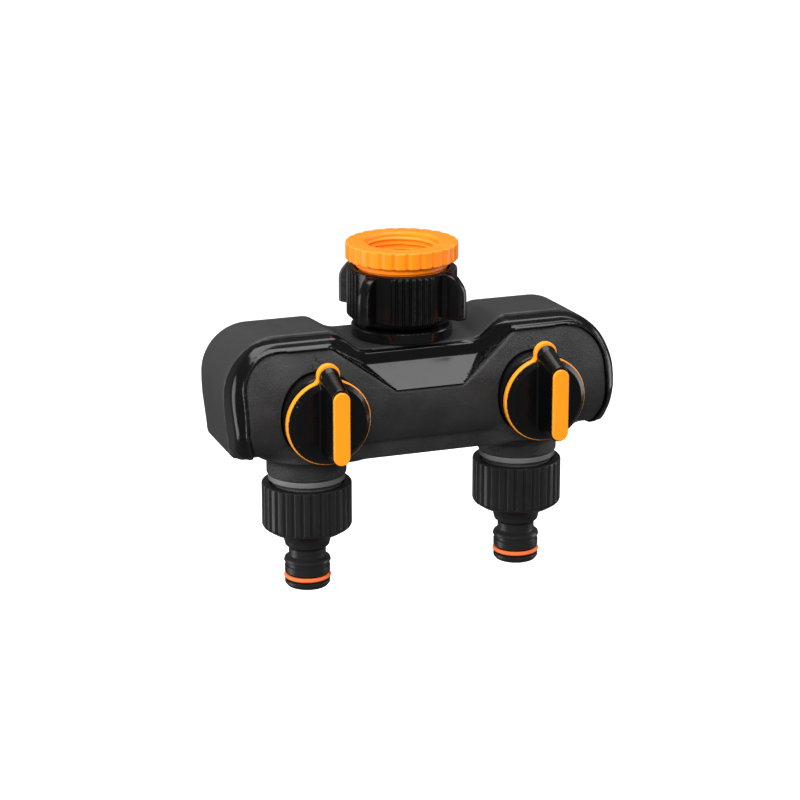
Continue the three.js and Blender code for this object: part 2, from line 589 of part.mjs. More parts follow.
// Disc with a grip bar across it; the bar's top end slopes back to the disc.
function knobCap() {
  const k = KNOB;
  const disc = laid(turned([[0, k.discBack], [k.disc, k.discBack], [k.disc, k.discEdge], [k.bevel, k.discFront],
    [0, k.discFront]]));
  const side = [[k.discBack, k.barBottom], [k.barFront + 1, k.barBottom], [k.barFront, k.barBottom + 1],
    [k.barFront, k.stripTop - 0.4], [k.barFront + 0.6, k.stripTop + 0.5], [k.discFront - 0.8, k.barTop - 0.6],
    [k.discBack, k.barTop]];
  const bar = extrude(side, ALONG_X, -k.bar, k.bar)
    .intersect(extrude(stadium(k.bar, k.barBottom, k.barTop), ALONG_Y, k.ringFront, -FAR));
  return disc.add(bar).subtract(laid(cylinder(k.screwRoom, k.screwRoomDeep, k.ringFront, SMALL)));
}

function knobStrip() {
  const k = KNOB;
  return extrude(stadium(k.stripHalf, k.stripBottom, k.stripTop), ALONG_Y, k.stripBack, k.stripFront);
}

function knobScrew() {
  return laid(turned(KNOB_SCREW, 20));
}

// ---------------------------------------------------------------- outlet
function outletRing() {
  const r = OUTLET_RING;
  return washer(r).subtract(box(0, r.outer, (r.top + r.bottom) / 2, r.mouth, r.outer / 2, r.outer));
}

function tapAdapter() {
  const a = ADAPTER;
  const skin = extrude(scalloped(a.radius, a.flute, a.flutes, FLUTE_SHAPE), ALONG_Z, a.skirt, a.top);
  const nipple = turned([[0, NIPPLE[0][1]], ...NIPPLE, [0, a.bottom]]);
  const cut = turned([[0, a.top + 1], [a.bore, a.top + 1], [a.bore, a.floor], [a.nippleBore, a.floor],
    [a.nippleBore, a.bottom - 1], [0, a.bottom - 1]]);
  return skin.add(nipple).subtract(cut);
}

// ---------------------------------------------------------------- build
place('tap_reducer', tapReducer(), 'orange');
place('tap_washer', washer(TAP_WASHER), 'rubber');
place('inlet_nut', inletNut(), 'nut');
place('inlet_washer', washer(INLET_WASHER), 'rubber');
place('nut_clip', nutClip(), 'inner');
place('inlet_spigot', inletSpigot(), 'gloss');
place('spigot_o_ring', oRing(SPIGOT_O_RING, SPIGOT_O_RING.z), 'rubber');
place('valve_manifold', valveManifold(), 'inner');
place('rear_shell', rearShell(), 'satin');
place('front_bezel', frontBezel(), 'gloss');
place('front_shell', frontShell(), 'grain');
SCREW.z.forEach((z, row) => {
  SIDES.forEach(([, side], column) => {
    place(`casing_screw_${row * 2 + column + 1}`, casingScrew(), 'steel', side * SCREW.x, 0, z);
  });
});
for (const [hand, side] of SIDES) {
  const x = side * OUTLET_X;
  place(`${hand}_valve_plug`, valvePlug(side), 'plug', x, 0, KNOB_Z);
  place(`${hand}_plug_rear_o_ring`, laid(oRing(PLUG_O_RING, PLUG.rearGroove)), 'rubber', x, 0, KNOB_Z);
  place(`${hand}_plug_front_o_ring`, laid(oRing(PLUG_O_RING, PLUG.frontGroove)), 'rubber', x, 0, KNOB_Z);
  place(`${hand}_seat_seal`, seatSeal(), 'rubber', x, OUTLET_Y, 0);
  place(`${hand}_valve_bonnet`, valveBonnet(), 'gloss', x, 0, KNOB_Z);
  place(`${hand}_knob_base`, knobBase(), 'gloss', x, 0, KNOB_Z);
  place(`${hand}_knob_ring`, knobRing(), 'strip', x, 0, KNOB_Z);
  place(`${hand}_knob_screw`, knobScrew(), 'steel', x, 0, KNOB_Z);
  place(`${hand}_knob_cap`, knobCap(), 'nut', x, 0, KNOB_Z);
  place(`${hand}_knob_strip`, knobStrip(), 'strip', x, 0, KNOB_Z);
  place(`${hand}_outlet_ring`, outletRing(), 'ring', x, OUTLET_Y, 0);
  place(`${hand}_outlet_washer`, washer(OUTLET_WASHER), 'rubber', x, OUTLET_Y, 0);
  place(`${hand}_tap_adapter`, tapAdapter(), 'adapter', x, OUTLET_Y, 0);
  place(`${hand}_nipple_o_ring`, oRing(NIPPLE_O_RING, NIPPLE_O_RING.z), 'seal', x, OUTLET_Y, 0);
}

export default group;
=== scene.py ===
# Two-way hose splitter: the looks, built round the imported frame.
# Shapes are drawn in millimetres in the part's own frame: X is the width, +Y points to the back, +Z is up,
# and the origin is on the tap axis at the seat on top. They become metres when a mesh is made.
import math

import bpy
import numpy as np
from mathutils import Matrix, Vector


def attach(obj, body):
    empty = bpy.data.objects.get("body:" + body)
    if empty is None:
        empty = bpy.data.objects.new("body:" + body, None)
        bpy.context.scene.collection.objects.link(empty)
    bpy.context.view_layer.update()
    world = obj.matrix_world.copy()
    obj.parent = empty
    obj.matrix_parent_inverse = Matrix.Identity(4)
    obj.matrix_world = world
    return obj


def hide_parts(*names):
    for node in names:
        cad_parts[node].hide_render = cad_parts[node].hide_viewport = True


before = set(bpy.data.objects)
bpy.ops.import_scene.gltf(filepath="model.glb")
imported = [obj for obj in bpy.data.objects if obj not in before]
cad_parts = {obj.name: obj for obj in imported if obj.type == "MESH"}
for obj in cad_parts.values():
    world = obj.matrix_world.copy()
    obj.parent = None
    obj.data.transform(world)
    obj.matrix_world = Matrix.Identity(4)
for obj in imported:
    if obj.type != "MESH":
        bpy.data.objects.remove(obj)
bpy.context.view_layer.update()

# ---------------------------------------------------------------- dimensions, in millimetres
MM = 0.001
GAP = 0.3                # clearance between neighbouring pieces
WALL = 2.2               # casing wall
OUTLET_X = 41.0          # half the spacing of the outlets
OUTLET_Y = -11.8         # outlet axis
KNOB_Z = -53.4           # height of the valve axis
BACK_Y = 17.0            # back face of the casing
PARTING_Y = -16.0        # joint between rear shell and bezel
HALF_WIDTH = 72.9        # casing half width at the parting
DECK_Z = -34.5           # deck under the collar
HUMP_Z = -26.4           # top of the humps
FLOOR_Z = -70.5          # casing bottom
CASING_DEPTH = BACK_Y - PARTING_Y
HUMP_FALL = 2.2          # how far the humps fall towards the back
SIDE_DRAFT = 0.6         # how far the ends draw in towards the back
SIDES = (("left", -1), ("right", 1))
COARSE = 1.0      # coarser cells while trying things


# ---------------------------------------------------------------- outlines
def filleted(corners, steps=5):
    """A closed outline with its corners rounded; a corner is (a, b) or (a, b, radius)."""
    points = []
    count = len(corners)
    for i, corner in enumerate(corners):
        here = Vector(corner[:2])
        radius = corner[2] if len(corner) > 2 else 0.0
        before = Vector(corners[i - 1][:2]) - here
        after = Vector(corners[(i + 1) % count][:2]) - here
        opening = before.angle(after)
        if radius <= 0 or opening > math.pi - 0.01:
            points.append(tuple(here))
            continue
        reach = min(radius / math.tan(opening / 2), 0.48 * before.length, 0.48 * after.length)
        radius = reach * math.tan(opening / 2)
        before.normalize()
        after.normalize()
        centre = here + (before + after).normalized() * (radius / math.sin(opening / 2))
        start = here + before * reach - centre
        turn = math.pi - opening
        sense = 1 if start.x * (here - centre).y - start.y * (here - centre).x > 0 else -1
        bends = max(1, round(steps * turn / (math.pi / 2)))
        for k in range(bends + 1):
            a = sense * turn * k / bends
            c, s = math.cos(a), math.sin(a)
            points.append((centre.x + start.x * c - start.y * s, centre.y + start.x * s + start.y * c))
    return points


def ease(t):
    """Smooth step from 0 to 1."""
    t = np.clip(t, 0, 1)
    return t * t * (3 - 2 * t)


# ---------------------------------------------------------------- distance fields, below zero inside
def outline_field(points, step=0.12, margin=4.0):
    """Signed distance to a closed outline, read from a fine table."""
    corners = np.asarray(points, float)
    low = corners.min(0) - margin
    high = corners.max(0) + margin
    us = np.arange(low[0], high[0] + step, step)
    vs = np.arange(low[1], high[1] + step, step)
    u, v = us[:, None], vs[None, :]
    nearest = np.full((len(us), len(vs)), 1e9)
    inside = np.zeros(nearest.shape, bool)
    for (ax, ay), (bx, by) in zip(corners, np.roll(corners, -1, axis=0)):
        ex, ey = bx - ax, by - ay
        length = ex * ex + ey * ey
        if length < 1e-12:
            continue
        t = np.clip(((u - ax) * ex + (v - ay) * ey) / length, 0, 1)
        nearest = np.minimum(nearest, (u - ax - ex * t) ** 2 + (v - ay - ey * t) ** 2)
        if ay != by:
            inside ^= ((ay > v) != (by > v)) & (u < ex * (v - ay) / ey + ax)
    table = np.where(inside, -1.0, 1.0) * np.sqrt(nearest)

    def field(a, b):
        p = np.clip((a - low[0]) / step, 0, len(us) - 1.001)
        q = np.clip((b - low[1]) / step, 0, len(vs) - 1.001)
        i, j = p.astype(int), q.astype(int)
        p, q = p - i, q - j
        near = table[i, j] * (1 - q) + table[i, j + 1] * q
        far = table[i + 1, j] * (1 - q) + table[i + 1, j + 1] * q
        return near * (1 - p) + far * p

    return field


def meet(a, b, radius):
    """What two fields share, its edge rounded."""
    u = np.maximum(a + radius, 0)
    v = np.maximum(b + radius, 0)
    return np.minimum(np.maximum(a, b), -radius) + np.sqrt(u * u + v * v)


def join(a, b, radius):
    """Two fields together, with a fillet where they meet."""
    return -meet(-a, -b, radius)


def without(a, b, radius):
    """A field with another cut from it, the edge rounded."""
    return meet(a, -b, radius)


def between(value, low, high):
    """A slab from low to high."""
    return np.maximum(low - value, value - high)


def disc_y(x, y, z, radius, back, front, edge):
    """Round solid along Y; back and front are its ends."""
    return meet(np.hypot(x, z) - radius, between(y, front, back), edge)


def capsule(x, z, half, low, high):
    """Upright strip with round ends, in the X Z plane."""
    middle = np.clip(z, low + half, high - half)
    return np.hypot(x, z - middle) - half


# ---------------------------------------------------------------- meshes
SETTLE_STEP = 0.06       # how far apart a field is read for its slope
SHADING_STEP = 0.14      # the same for the shading normals


def largest_body(count, faces):
    """Which points belong to the biggest connected body."""
    pairs = np.concatenate([faces[:, [k, (k + 1) % 4]] for k in range(4)])
    label = np.arange(count)
    while True:
        least = np.minimum(label[pairs[:, 0]], label[pairs[:, 1]])
        fresh = label.copy()
        np.minimum.at(fresh, pairs[:, 0], least)
        np.minimum.at(fresh, pairs[:, 1], least)
        fresh = fresh[fresh]
        if np.array_equal(fresh, label):
            break
        label = fresh
    names, sizes = np.unique(label, return_counts=True)
    return label == names[np.argmax(sizes)]


def slope_of(field, points, reach):
    """Gradient of a field at some points."""
    steps = []
    for axis in range(3):
        shift = np.zeros(3)
        shift[axis] = reach
        steps.append(field(*(points + shift).T) - field(*(points - shift).T))
    return np.stack(steps, 1) / (2 * reach)


def settled(field, points, cell):
    """Points moved onto the surface."""
    for _ in range(2):
        slope = slope_of(field, points, SETTLE_STEP)
        size = np.maximum((slope * slope).sum(1), 0.3)
        move = slope * (field(*points.T) / size)[:, None]
        reach = np.linalg.norm(move, axis=1, keepdims=True)
        points = points - move * np.minimum(1, cell / np.maximum(reach, 1e-9))
    return points


def carved(field, low, high, cell):
    """Quad mesh of a field's surface: (points, faces, normals)."""
    cell = cell * COARSE
    axes = [np.arange(a - 1.5 * cell, b + 2.5 * cell, cell) for a, b in zip(low, high)]
    grid = np.meshgrid(*axes, indexing="ij", sparse=True)
    value = np.broadcast_to(field(*grid), [len(a) for a in axes]).astype(np.float32)
    inside = value < 0
    origin = np.array([a[0] for a in axes])
    strides = np.array([(value.shape[1]) * (value.shape[2]), value.shape[2], 1])
    quads, crossings = [], []
    for axis in range(3):
        here = [slice(None)] * 3
        there = [slice(None)] * 3
        here[axis], there[axis] = slice(0, -1), slice(1, None)
        here, there = tuple(here), tuple(there)
        at = np.argwhere(inside[here] != inside[there])
        near = value[here][tuple(at.T)]
        far = value[there][tuple(at.T)]
        along = np.eye(3, dtype=int)[axis]
        across = np.eye(3, dtype=int)[(axis + 1) % 3]
        aside = np.eye(3, dtype=int)[(axis + 2) % 3]
        crossings.append(origin + (at + along * (near / (near - far))[:, None]) * cell)
        around = [at - across - aside, at - aside, at, at - across]
        quad = np.stack([(c * strides).sum(1) for c in around], 1)
        flip = near > 0
        quad[flip] = quad[flip][:, ::-1]
        quads.append(quad)
    quads = np.concatenate(quads)
    crossings = np.concatenate(crossings)
    ids, faces = np.unique(quads, return_inverse=True)
    faces = faces.reshape(-1, 4)
    count = len(ids)
    uses = np.bincount(faces.ravel(), minlength=count)
    points = np.stack([
        np.bincount(faces.ravel(), np.repeat(crossings[:, k], 4), minlength=count) / uses for k in range(3)
    ], 1)
    kept = largest_body(count, faces)
    faces = faces[kept[faces[:, 0]]]
    renumber = np.cumsum(kept) - 1
    points, faces, count = points[kept], renumber[faces], int(kept.sum())
    pairs = np.concatenate([faces[:, [k, (k + 1) % 4]] for k in range(4)])
    uses = np.maximum(np.bincount(pairs[:, 0], minlength=count), 1)
    points = settled(field, points, cell)
    for _ in range(3):
        mean = np.stack([
            np.bincount(pairs[:, 0], points[pairs[:, 1], k], minlength=count) / uses for k in range(3)
        ], 1)
        points = settled(field, points * 0.5 + mean * 0.5, cell)
    normals = slope_of(field, points, SHADING_STEP)
    normals /= np.maximum(np.linalg.norm(normals, axis=1, keepdims=True), 1e-9)
    return points, faces, normals


def spun(profile, segments, relief=None, along="z"):
    """Quad mesh of a closed profile of (radius, level) turned round an axis.
    relief(angle, radius, level) gives the radius at each point."""
    profile = np.asarray(profile, float)
    angle = np.arange(segments)[None, :] * (2 * math.pi / segments)
    radius = np.repeat(profile[:, :1], segments, 1)
    level = np.repeat(profile[:, 1:], segments, 1)
    if relief is not None:
        radius = relief(angle, radius, level)
    across, aside = radius * np.cos(angle), radius * np.sin(angle)
    stack = (across, aside, level) if along == "z" else (across, level, -aside)
    points = np.stack(stack, -1)
    return woven(points)


def woven(points):
    """Quad mesh of a grid of points closed both ways; the first direction runs round the profile."""
    levels, segments = points.shape[:2]
    i = np.arange(levels)[:, None]
    j = np.arange(segments)[None, :]
    a = i * segments + j
    b = i * segments + (j + 1) % segments
    c = ((i + 1) % levels) * segments + (j + 1) % segments
    d = ((i + 1) % levels) * segments + j
    faces = np.stack([a, b, c, d], -1).reshape(-1, 4)
    flat = points.reshape(-1, 3)
    p, q, r = flat[faces[:, 0]], flat[faces[:, 1]], flat[faces[:, 2]]
    volume = (p * np.cross(q, r)).sum() + (p * np.cross(r, flat[faces[:, 3]])).sum()
    if volume < 0:
        faces = faces[:, ::-1]
    return flat, faces, None


def moved(shape, x=0.0, y=0.0, z=0.0):
    points, faces, normals = shape
    return points + np.array([x, y, z]), faces, normals


def dense(profile, spacing):
    """A closed profile with extra points, no further apart than the spacing."""
    points = []
    for (ax, ay), (bx, by) in zip(profile, profile[1:] + profile[:1]):
        parts = max(1, math.ceil(math.hypot(bx - ax, by - ay) / spacing))
        points += [(ax + (bx - ax) * k / parts, ay + (by - ay) * k / parts) for k in range(parts)]
    return points


def place(name, shape, finish, body="casing"):
    """Makes the piece that stands for the CAD node of the same name."""
    points, faces, normals = shape
    mesh = bpy.data.meshes.new(name)
    mesh.from_pydata((points * MM).tolist(), [], faces.tolist())
    mesh.validate()
    mesh.shade_smooth()
    piece = bpy.data.objects.new(name + "_piece", mesh)
    bpy.context.scene.collection.objects.link(piece)
    if normals is not None and len(mesh.vertices) == len(normals):
        mesh.normals_split_custom_set_from_vertices(normals.tolist())
    else:
        weld = piece.modifiers.new("weld", "WELD")
        weld.merge_threshold = 1e-6
        piece.modifiers.new("even shading", "WEIGHTED_NORMAL").weight = 80
    mesh.materials.append(finish)
    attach(piece, body)
    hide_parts(name)
    return piece


# ---------------------------------------------------------------- shading groups
def colour_of(red, green, blue):
    """A screen colour of 0 to 255 as the linear colour a shader takes."""
    parts = [c / 255 for c in (red, green, blue)]
    return tuple(c / 12.92 if c <= 0.04045 else ((c + 0.055) / 1.055) ** 2.4 for c in parts) + (1.0,)


def group_of(name, inputs, outputs):
    """An empty shader group with its sockets; an input is (name, kind, value)."""
    tree = bpy.data.node_groups.new(name, "ShaderNodeTree")
    for title, kind, value in inputs:
        socket = tree.interface.new_socket(title, in_out="INPUT", socket_type="NodeSocket" + kind)
        if value is not None:
            socket.default_value = value
    for title, kind in outputs:
        tree.interface.new_socket(title, in_out="OUTPUT", socket_type="NodeSocket" + kind)
    return tree, tree.nodes.new("NodeGroupInput"), tree.nodes.new("NodeGroupOutput")


def math_node(tree, operation, a, b=None):
    """A Math node fed from sockets or plain numbers."""
    node = tree.nodes.new("ShaderNodeMath")
    node.operation = operation
    for socket, value in zip(node.inputs, (a, b)):
        if isinstance(value, bpy.types.NodeSocket):
            tree.links.new(value, socket)
        elif value is not None:
            socket.default_value = value
    return node.outputs[0]


def span_node(tree, value, low, high, to_low=0.0, to_high=1.0):
    """Maps a value between two limits, held at both ends."""
    node = tree.nodes.new("ShaderNodeMapRange")
    for socket, given in zip(node.inputs, (value, low, high, to_low, to_high)):
        if isinstance(given, bpy.types.NodeSocket):
            tree.links.new(given, socket)
        else:
            socket.default_value = given
    return node.outputs[0]


def noise_node(tree, place_socket, scale, detail, roughness=0.5):
    """A Noise texture read at a place."""
    node = tree.nodes.new("ShaderNodeTexNoise")
    tree.links.new(place_socket, node.inputs["Vector"])
    for title, given in (("Scale", scale), ("Detail", detail), ("Roughness", roughness)):
        if isinstance(given, bpy.types.NodeSocket):
            tree.links.new(given, node.inputs[title])
        else:
            node.inputs[title].default_value = given
    return node.outputs["Fac"]


def blend_node(tree, share, first, second):
    """One colour turning into another as the share goes from 0 to 1."""
    node = tree.nodes.new("ShaderNodeMix")
    node.data_type = "RGBA"
    tree.links.new(share, node.inputs["Factor"])
    for title, given in (("A", first), ("B", second)):
        socket = next(s for s in node.inputs if s.name == title and s.type == "RGBA")
        if isinstance(given, bpy.types.NodeSocket):
            tree.links.new(given, socket)
        else:
            socket.default_value = given
    return next(s for s in node.outputs if s.type == "RGBA")


def moulding_tone():
    """Slow cloudy change of colour that moulded plastic has, with fine pigment specks."""
    tree, given, made = group_of("moulding_tone", [
        ("Place", "Vector", None), ("Colour", "Color", (0.5, 0.5, 0.5, 1)),
        ("Second Colour", "Color", (0.4, 0.4, 0.4, 1)), ("Cloud Scale", "Float", 60.0),
        ("Cloud Share", "Float", 0.6), ("Speck Scale", "Float", 2200.0), ("Speck Share", "Float", 0.25),
    ], [("Colour", "Color"), ("Mask", "Float")])
    cloud = noise_node(tree, given.outputs["Place"], given.outputs["Cloud Scale"], 3.0)
    cloud = math_node(tree, "MULTIPLY", span_node(tree, cloud, 0.35, 0.65), given.outputs["Cloud Share"])
    speck = noise_node(tree, given.outputs["Place"], given.outputs["Speck Scale"], 1.0)
    speck = math_node(tree, "MULTIPLY", span_node(tree, speck, 0.5, 0.75), given.outputs["Speck Share"])
    mask = math_node(tree, "MINIMUM", math_node(tree, "ADD", cloud, speck), 1.0)
    tree.links.new(mask, made.inputs["Mask"])
    tone = blend_node(tree, mask, given.outputs["Colour"], given.outputs["Second Colour"])
    tree.links.new(tone, made.inputs["Colour"])
    return tree


def edge_wear_and_highlight():
    """Mask of the outer edges, which take a lighter colour both as the wear that handling rubs in first and as
    a painted highlight; broken up so that no edge is even.
    """
    tree, given, made = group_of("edge_wear_and_highlight", [
        ("Place", "Vector", None), ("Start", "Float", 0.515), ("End", "Float", 0.6),
        ("Break Scale", "Float", 240.0)], [("Mask", "Float")])
    sharp = tree.nodes.new("ShaderNodeNewGeometry").outputs["Pointiness"]
    edge = span_node(tree, sharp, given.outputs["Start"], given.outputs["End"])
    breaks = noise_node(tree, given.outputs["Place"], given.outputs["Break Scale"], 4.0, 0.6)
    rub = span_node(tree, breaks, 0.38, 0.62)
    tree.links.new(math_node(tree, "MULTIPLY", edge, rub), made.inputs["Mask"])
    return tree


def handled_sheen():
    """Roughness that drifts a little over the surface, with faint finger smudges."""
    tree, given, made = group_of("handled_sheen", [
        ("Place", "Vector", None), ("Roughness", "Float", 0.4), ("Drift", "Float", 0.08),
        ("Smudge", "Float", 0.05), ("Scale", "Float", 45.0)], [("Roughness", "Float")])
    broad = noise_node(tree, given.outputs["Place"], given.outputs["Scale"], 4.0, 0.6)
    drift = math_node(tree, "MULTIPLY", span_node(tree, broad, 0.3, 0.7, -1.0, 1.0), given.outputs["Drift"])
    fine_scale = math_node(tree, "MULTIPLY", given.outputs["Scale"], 6.0)
    fine = noise_node(tree, given.outputs["Place"], fine_scale, 3.0, 0.55)
    smudge = math_node(tree, "MULTIPLY", span_node(tree, fine, 0.52, 0.7), given.outputs["Smudge"])
    total = math_node(tree, "ADD", math_node(tree, "ADD", given.outputs["Roughness"], drift), smudge)
    tree.links.new(total, made.inputs["Roughness"])
    return tree


def spark_grain():
    """Height of a spark-eroded mould face: small rounded pits among a finer tooth."""
    tree, given, made = group_of("spark_grain", [
        ("Place", "Vector", None), ("Pit Scale", "Float", 1400.0), ("Tooth Scale", "Float", 4200.0),
        ("Tooth Share", "Float", 0.35)], [("Height", "Float")])
    pits = tree.nodes.new("ShaderNodeTexVoronoi")
    pits.feature = "SMOOTH_F1"
    tree.links.new(given.outputs["Place"], pits.inputs["Vector"])
    tree.links.new(given.outputs["Pit Scale"], pits.inputs["Scale"])
    pits.inputs["Smoothness"].default_value = 0.6
    tooth = noise_node(tree, given.outputs["Place"], given.outputs["Tooth Scale"], 2.0)
    tooth = math_node(tree, "MULTIPLY", tooth, given.outputs["Tooth Share"])
    tree.links.new(math_node(tree, "ADD", pits.outputs["Distance"], tooth), made.inputs["Height"])
    return tree


GRAIN_DEPTH = 0.0002      # metres
GROUPS = {maker.__name__: maker() for maker in (moulding_tone, edge_wear_and_highlight, handled_sheen, spark_grain)}


def finish_of(name, colour, second, edge, roughness, grain, bump, **plain):
    """One finish. Groups give what changes over the surface; plain numbers go on the shader's own sockets."""
    material = bpy.data.materials.new(name)
    material.use_nodes = True
    tree = material.node_tree
    shader = next(n for n in tree.nodes if n.type == "BSDF_PRINCIPLED")
    position = tree.nodes.new("ShaderNodeTexCoord").outputs["Object"]

    def put(key, **values):
        node = tree.nodes.new("ShaderNodeGroup")
        node.node_tree = GROUPS[key]
        node.label = key
        tree.links.new(position, node.inputs["Place"])
        for title, value in values.items():
            node.inputs[title.replace("_", " ")].default_value = value
        return node

    tone = put("moulding_tone", Colour=colour, Second_Colour=second)
    # Sharp edges take the edge colour: partly rubbed wear, partly a painted highlight.
    worn_and_lit_edges = put("edge_wear_and_highlight")
    sheen = put("handled_sheen", Roughness=roughness[0], Drift=roughness[1], Smudge=roughness[2])
    relief = put("spark_grain", Pit_Scale=grain[0], Tooth_Scale=grain[1], Tooth_Share=grain[2])
    base = blend_node(tree, worn_and_lit_edges.outputs["Mask"], tone.outputs["Colour"], edge)
    tree.links.new(base, shader.inputs["Base Color"])
    tree.links.new(sheen.outputs["Roughness"], shader.inputs["Roughness"])
    dent = tree.nodes.new("ShaderNodeBump")
    dent.inputs["Strength"].default_value = bump
    dent.inputs["Distance"].default_value = GRAIN_DEPTH
    tree.links.new(relief.outputs["Height"], dent.inputs["Height"])
    tree.links.new(dent.outputs["Normal"], shader.inputs["Normal"])
    for title, value in plain.items():
        shader.inputs[title.replace("_", " ")].default_value = value
    return material


# The third colour of each finish goes on its sharp edges: partly rubbed wear, partly a painted highlight.
FINISH = {
    "orange_plastic": finish_of("orange_polypropylene", colour_of(255, 136, 22), colour_of(252, 126, 16),
                                colour_of(255, 160, 60), (0.38, 0.05, 0.05), (900, 2600, 0.5), 0.10, IOR=1.49),
    "knob_orange": finish_of("knob_orange_plastic", colour_of(255, 156, 28), colour_of(252, 148, 20),
                             colour_of(255, 178, 74), (0.42, 0.05, 0.04), (1100, 3000, 0.5), 0.08, IOR=1.49),
    "seal_orange": finish_of("seal_orange_rubber", colour_of(255, 122, 62), colour_of(246, 112, 52),
                             colour_of(250, 130, 76), (0.50, 0.06, 0.05), (1500, 3600, 0.4), 0.08, IOR=1.52),
    "satin_black": finish_of("rear_shell_satin", colour_of(50, 50, 51), colour_of(45, 45, 46),
                             colour_of(74, 74, 75), (0.50, 0.04, 0.04), (2400, 5200, 0.6), 0.12, IOR=1.5),
    "gloss_black": finish_of("bezel_gloss", colour_of(8, 8, 9), colour_of(6, 6, 7),
                             colour_of(34, 34, 35), (0.16, 0.03, 0.05), (500, 1500, 0.3), 0.02, IOR=1.52),
    "grained_black": finish_of("front_panel_grain", colour_of(50, 50, 51), colour_of(26, 26, 27),
                               colour_of(74, 74, 75), (0.34, 0.05, 0.04), (2300, 5200, 0.5), 1.0, IOR=1.5),
    "nut_black": finish_of("nut_semi_gloss", colour_of(7, 7, 8), colour_of(5, 5, 6),
                           colour_of(46, 46, 47), (0.23, 0.05, 0.05), (700, 2200, 0.4), 0.06, IOR=1.5),
    "adapter_black": finish_of("adapter_satin", colour_of(30, 30, 31), colour_of(25, 25, 26),
                               colour_of(54, 54, 55), (0.36, 0.05, 0.05), (1300, 3600, 0.4), 0.14, IOR=1.5),
    "grey_plastic": finish_of("ring_grey", colour_of(104, 104, 105), colour_of(95, 95, 96),
                              colour_of(120, 120, 121), (0.48, 0.05, 0.04), (1300, 3600, 0.4), 0.12, IOR=1.5),
    "inner_grey": finish_of("inner_body_grey", colour_of(58, 58, 60), colour_of(50, 50, 52),
                            colour_of(84, 84, 86), (0.45, 0.05, 0.05), (1300, 3600, 0.4), 0.12, IOR=1.5),
    "white_plastic": finish_of("plug_acetal", colour_of(222, 219, 208), colour_of(212, 208, 196),
                               colour_of(232, 230, 222), (0.35, 0.05, 0.05), (900, 2600, 0.4), 0.06, IOR=1.48),
    "black_rubber": finish_of("seal_black_rubber", colour_of(24, 24, 24), colour_of(18, 18, 18),
                              colour_of(44, 44, 44), (0.62, 0.06, 0.04), (1500, 3600, 0.5), 0.18, IOR=1.52),
    "steel": finish_of("screw_zinc_plate", colour_of(196, 198, 200), colour_of(178, 181, 184),
                       colour_of(226, 228, 230), (0.28, 0.06, 0.08), (1800, 4600, 0.5), 0.12, Metallic=1.0),
}


# ---------------------------------------------------------------- inlet: reducer, nut, spigot
THREAD_PITCH = 1.814     # G3/4
NUT_PITCH = 2.309        # G1


def thread(angle, level, pitch, start, end):
    """Helical ridge share from 0 to 1, fading in at both ends; level falls from start to end."""
    turn = level / pitch - angle / (2 * math.pi)
    ridge = 1 - np.abs(2 * (turn - np.floor(turn)) - 1)
    ridge = np.clip((ridge - 0.12) / 0.76, 0, 1)
    fade = ease((start - level) / (0.6 * pitch)) * ease((level - end) / (0.6 * pitch))
    return ridge * fade


TEETH, TOOTH_DEEP = 26, 0.75
REDUCER_FLANGE, REDUCER_STEM, REDUCER_BORE = 20.5, 16.2, 12.9


def tap_reducer():
    profile = dense(filleted([
        (13.75, 0.0, 0.35), (REDUCER_FLANGE, 0.0, 0.55), (REDUCER_FLANGE, -6.2, 0.5), (17.35, -6.2, 0.4),
        (16.6, -7.6, 0.5), (16.9, -8.1, 0.2), (16.9, -8.8, 0.3), (REDUCER_STEM, -8.8, 0.2),
        (REDUCER_STEM, -20.6, 0.5), (8.6, -20.6, 0.3), (8.6, -12.4, 0.3), (REDUCER_BORE, -12.4, 0.2),
        (REDUCER_BORE, -1.2, 0.2)], 4), 0.3)

    def relief(angle, radius, level):
        phase = (angle * TEETH / (2 * math.pi)) % 1
        dip = ease(1 - np.abs(phase - 0.5) / 0.27)
        rim = ease((radius - 18.0) / 1.6) * (level > -6.4)
        inner = (np.abs(radius - REDUCER_BORE) < 0.05) & (level < -0.9)
        outer = (np.abs(radius - REDUCER_STEM) < 0.05) & (level < -8.9)
        radius = radius - TOOTH_DEEP * dip * rim
        radius = np.where(inner, 13.2 - 1.05 * thread(angle, level, THREAD_PITCH, -1.0, -12.2), radius)
        return np.where(outer, 15.0 + 1.2 * thread(angle, level, NUT_PITCH, -8.9, -20.4), radius)

    return spun(profile, 12 * TEETH, relief)


NUT_TOP, NUT_FOOT, NUT_BOTTOM = -9.1, -26.8, -29.0
NUT_BODY, NUT_BORE, NUT_THREAD = 19.4, 16.35, 16.75
WINGS, WING_TURN, WING_HALF, WING_EDGE, WING_BOTTOM = 4, 37.0, 2.1, 0.9, -26.0
WING_SPREAD = 10.0       # half the turn taken by a wing with its fillets, in degrees
WING_ROOT = NUT_BODY * math.sin(math.radians(WING_SPREAD))
WING_TAPER = 0.12        # how much a wing thins towards its edge
FILLET_ENDS, SIDE_ENDS = 0.62, 0.34      # shares of the spread
RIBS, RIB_STEP, RIB_HIGH = 7, 7.0, 0.75
WING_SIDE_VIEW = (       # (level, reach) from the top down
    (-9.1, 17.0), (-9.5, 19.4), (-9.6, 20.6), (-9.9, 21.7), (-10.4, 22.9), (-11.2, 23.9), (-12.4, 24.9),
    (-13.8, 26.0), (-15.6, 26.8), (-17.5, 27.0), (-25.2, 27.0), (-25.8, 26.8), (-26.0, 26.2), (-26.05, 19.4))


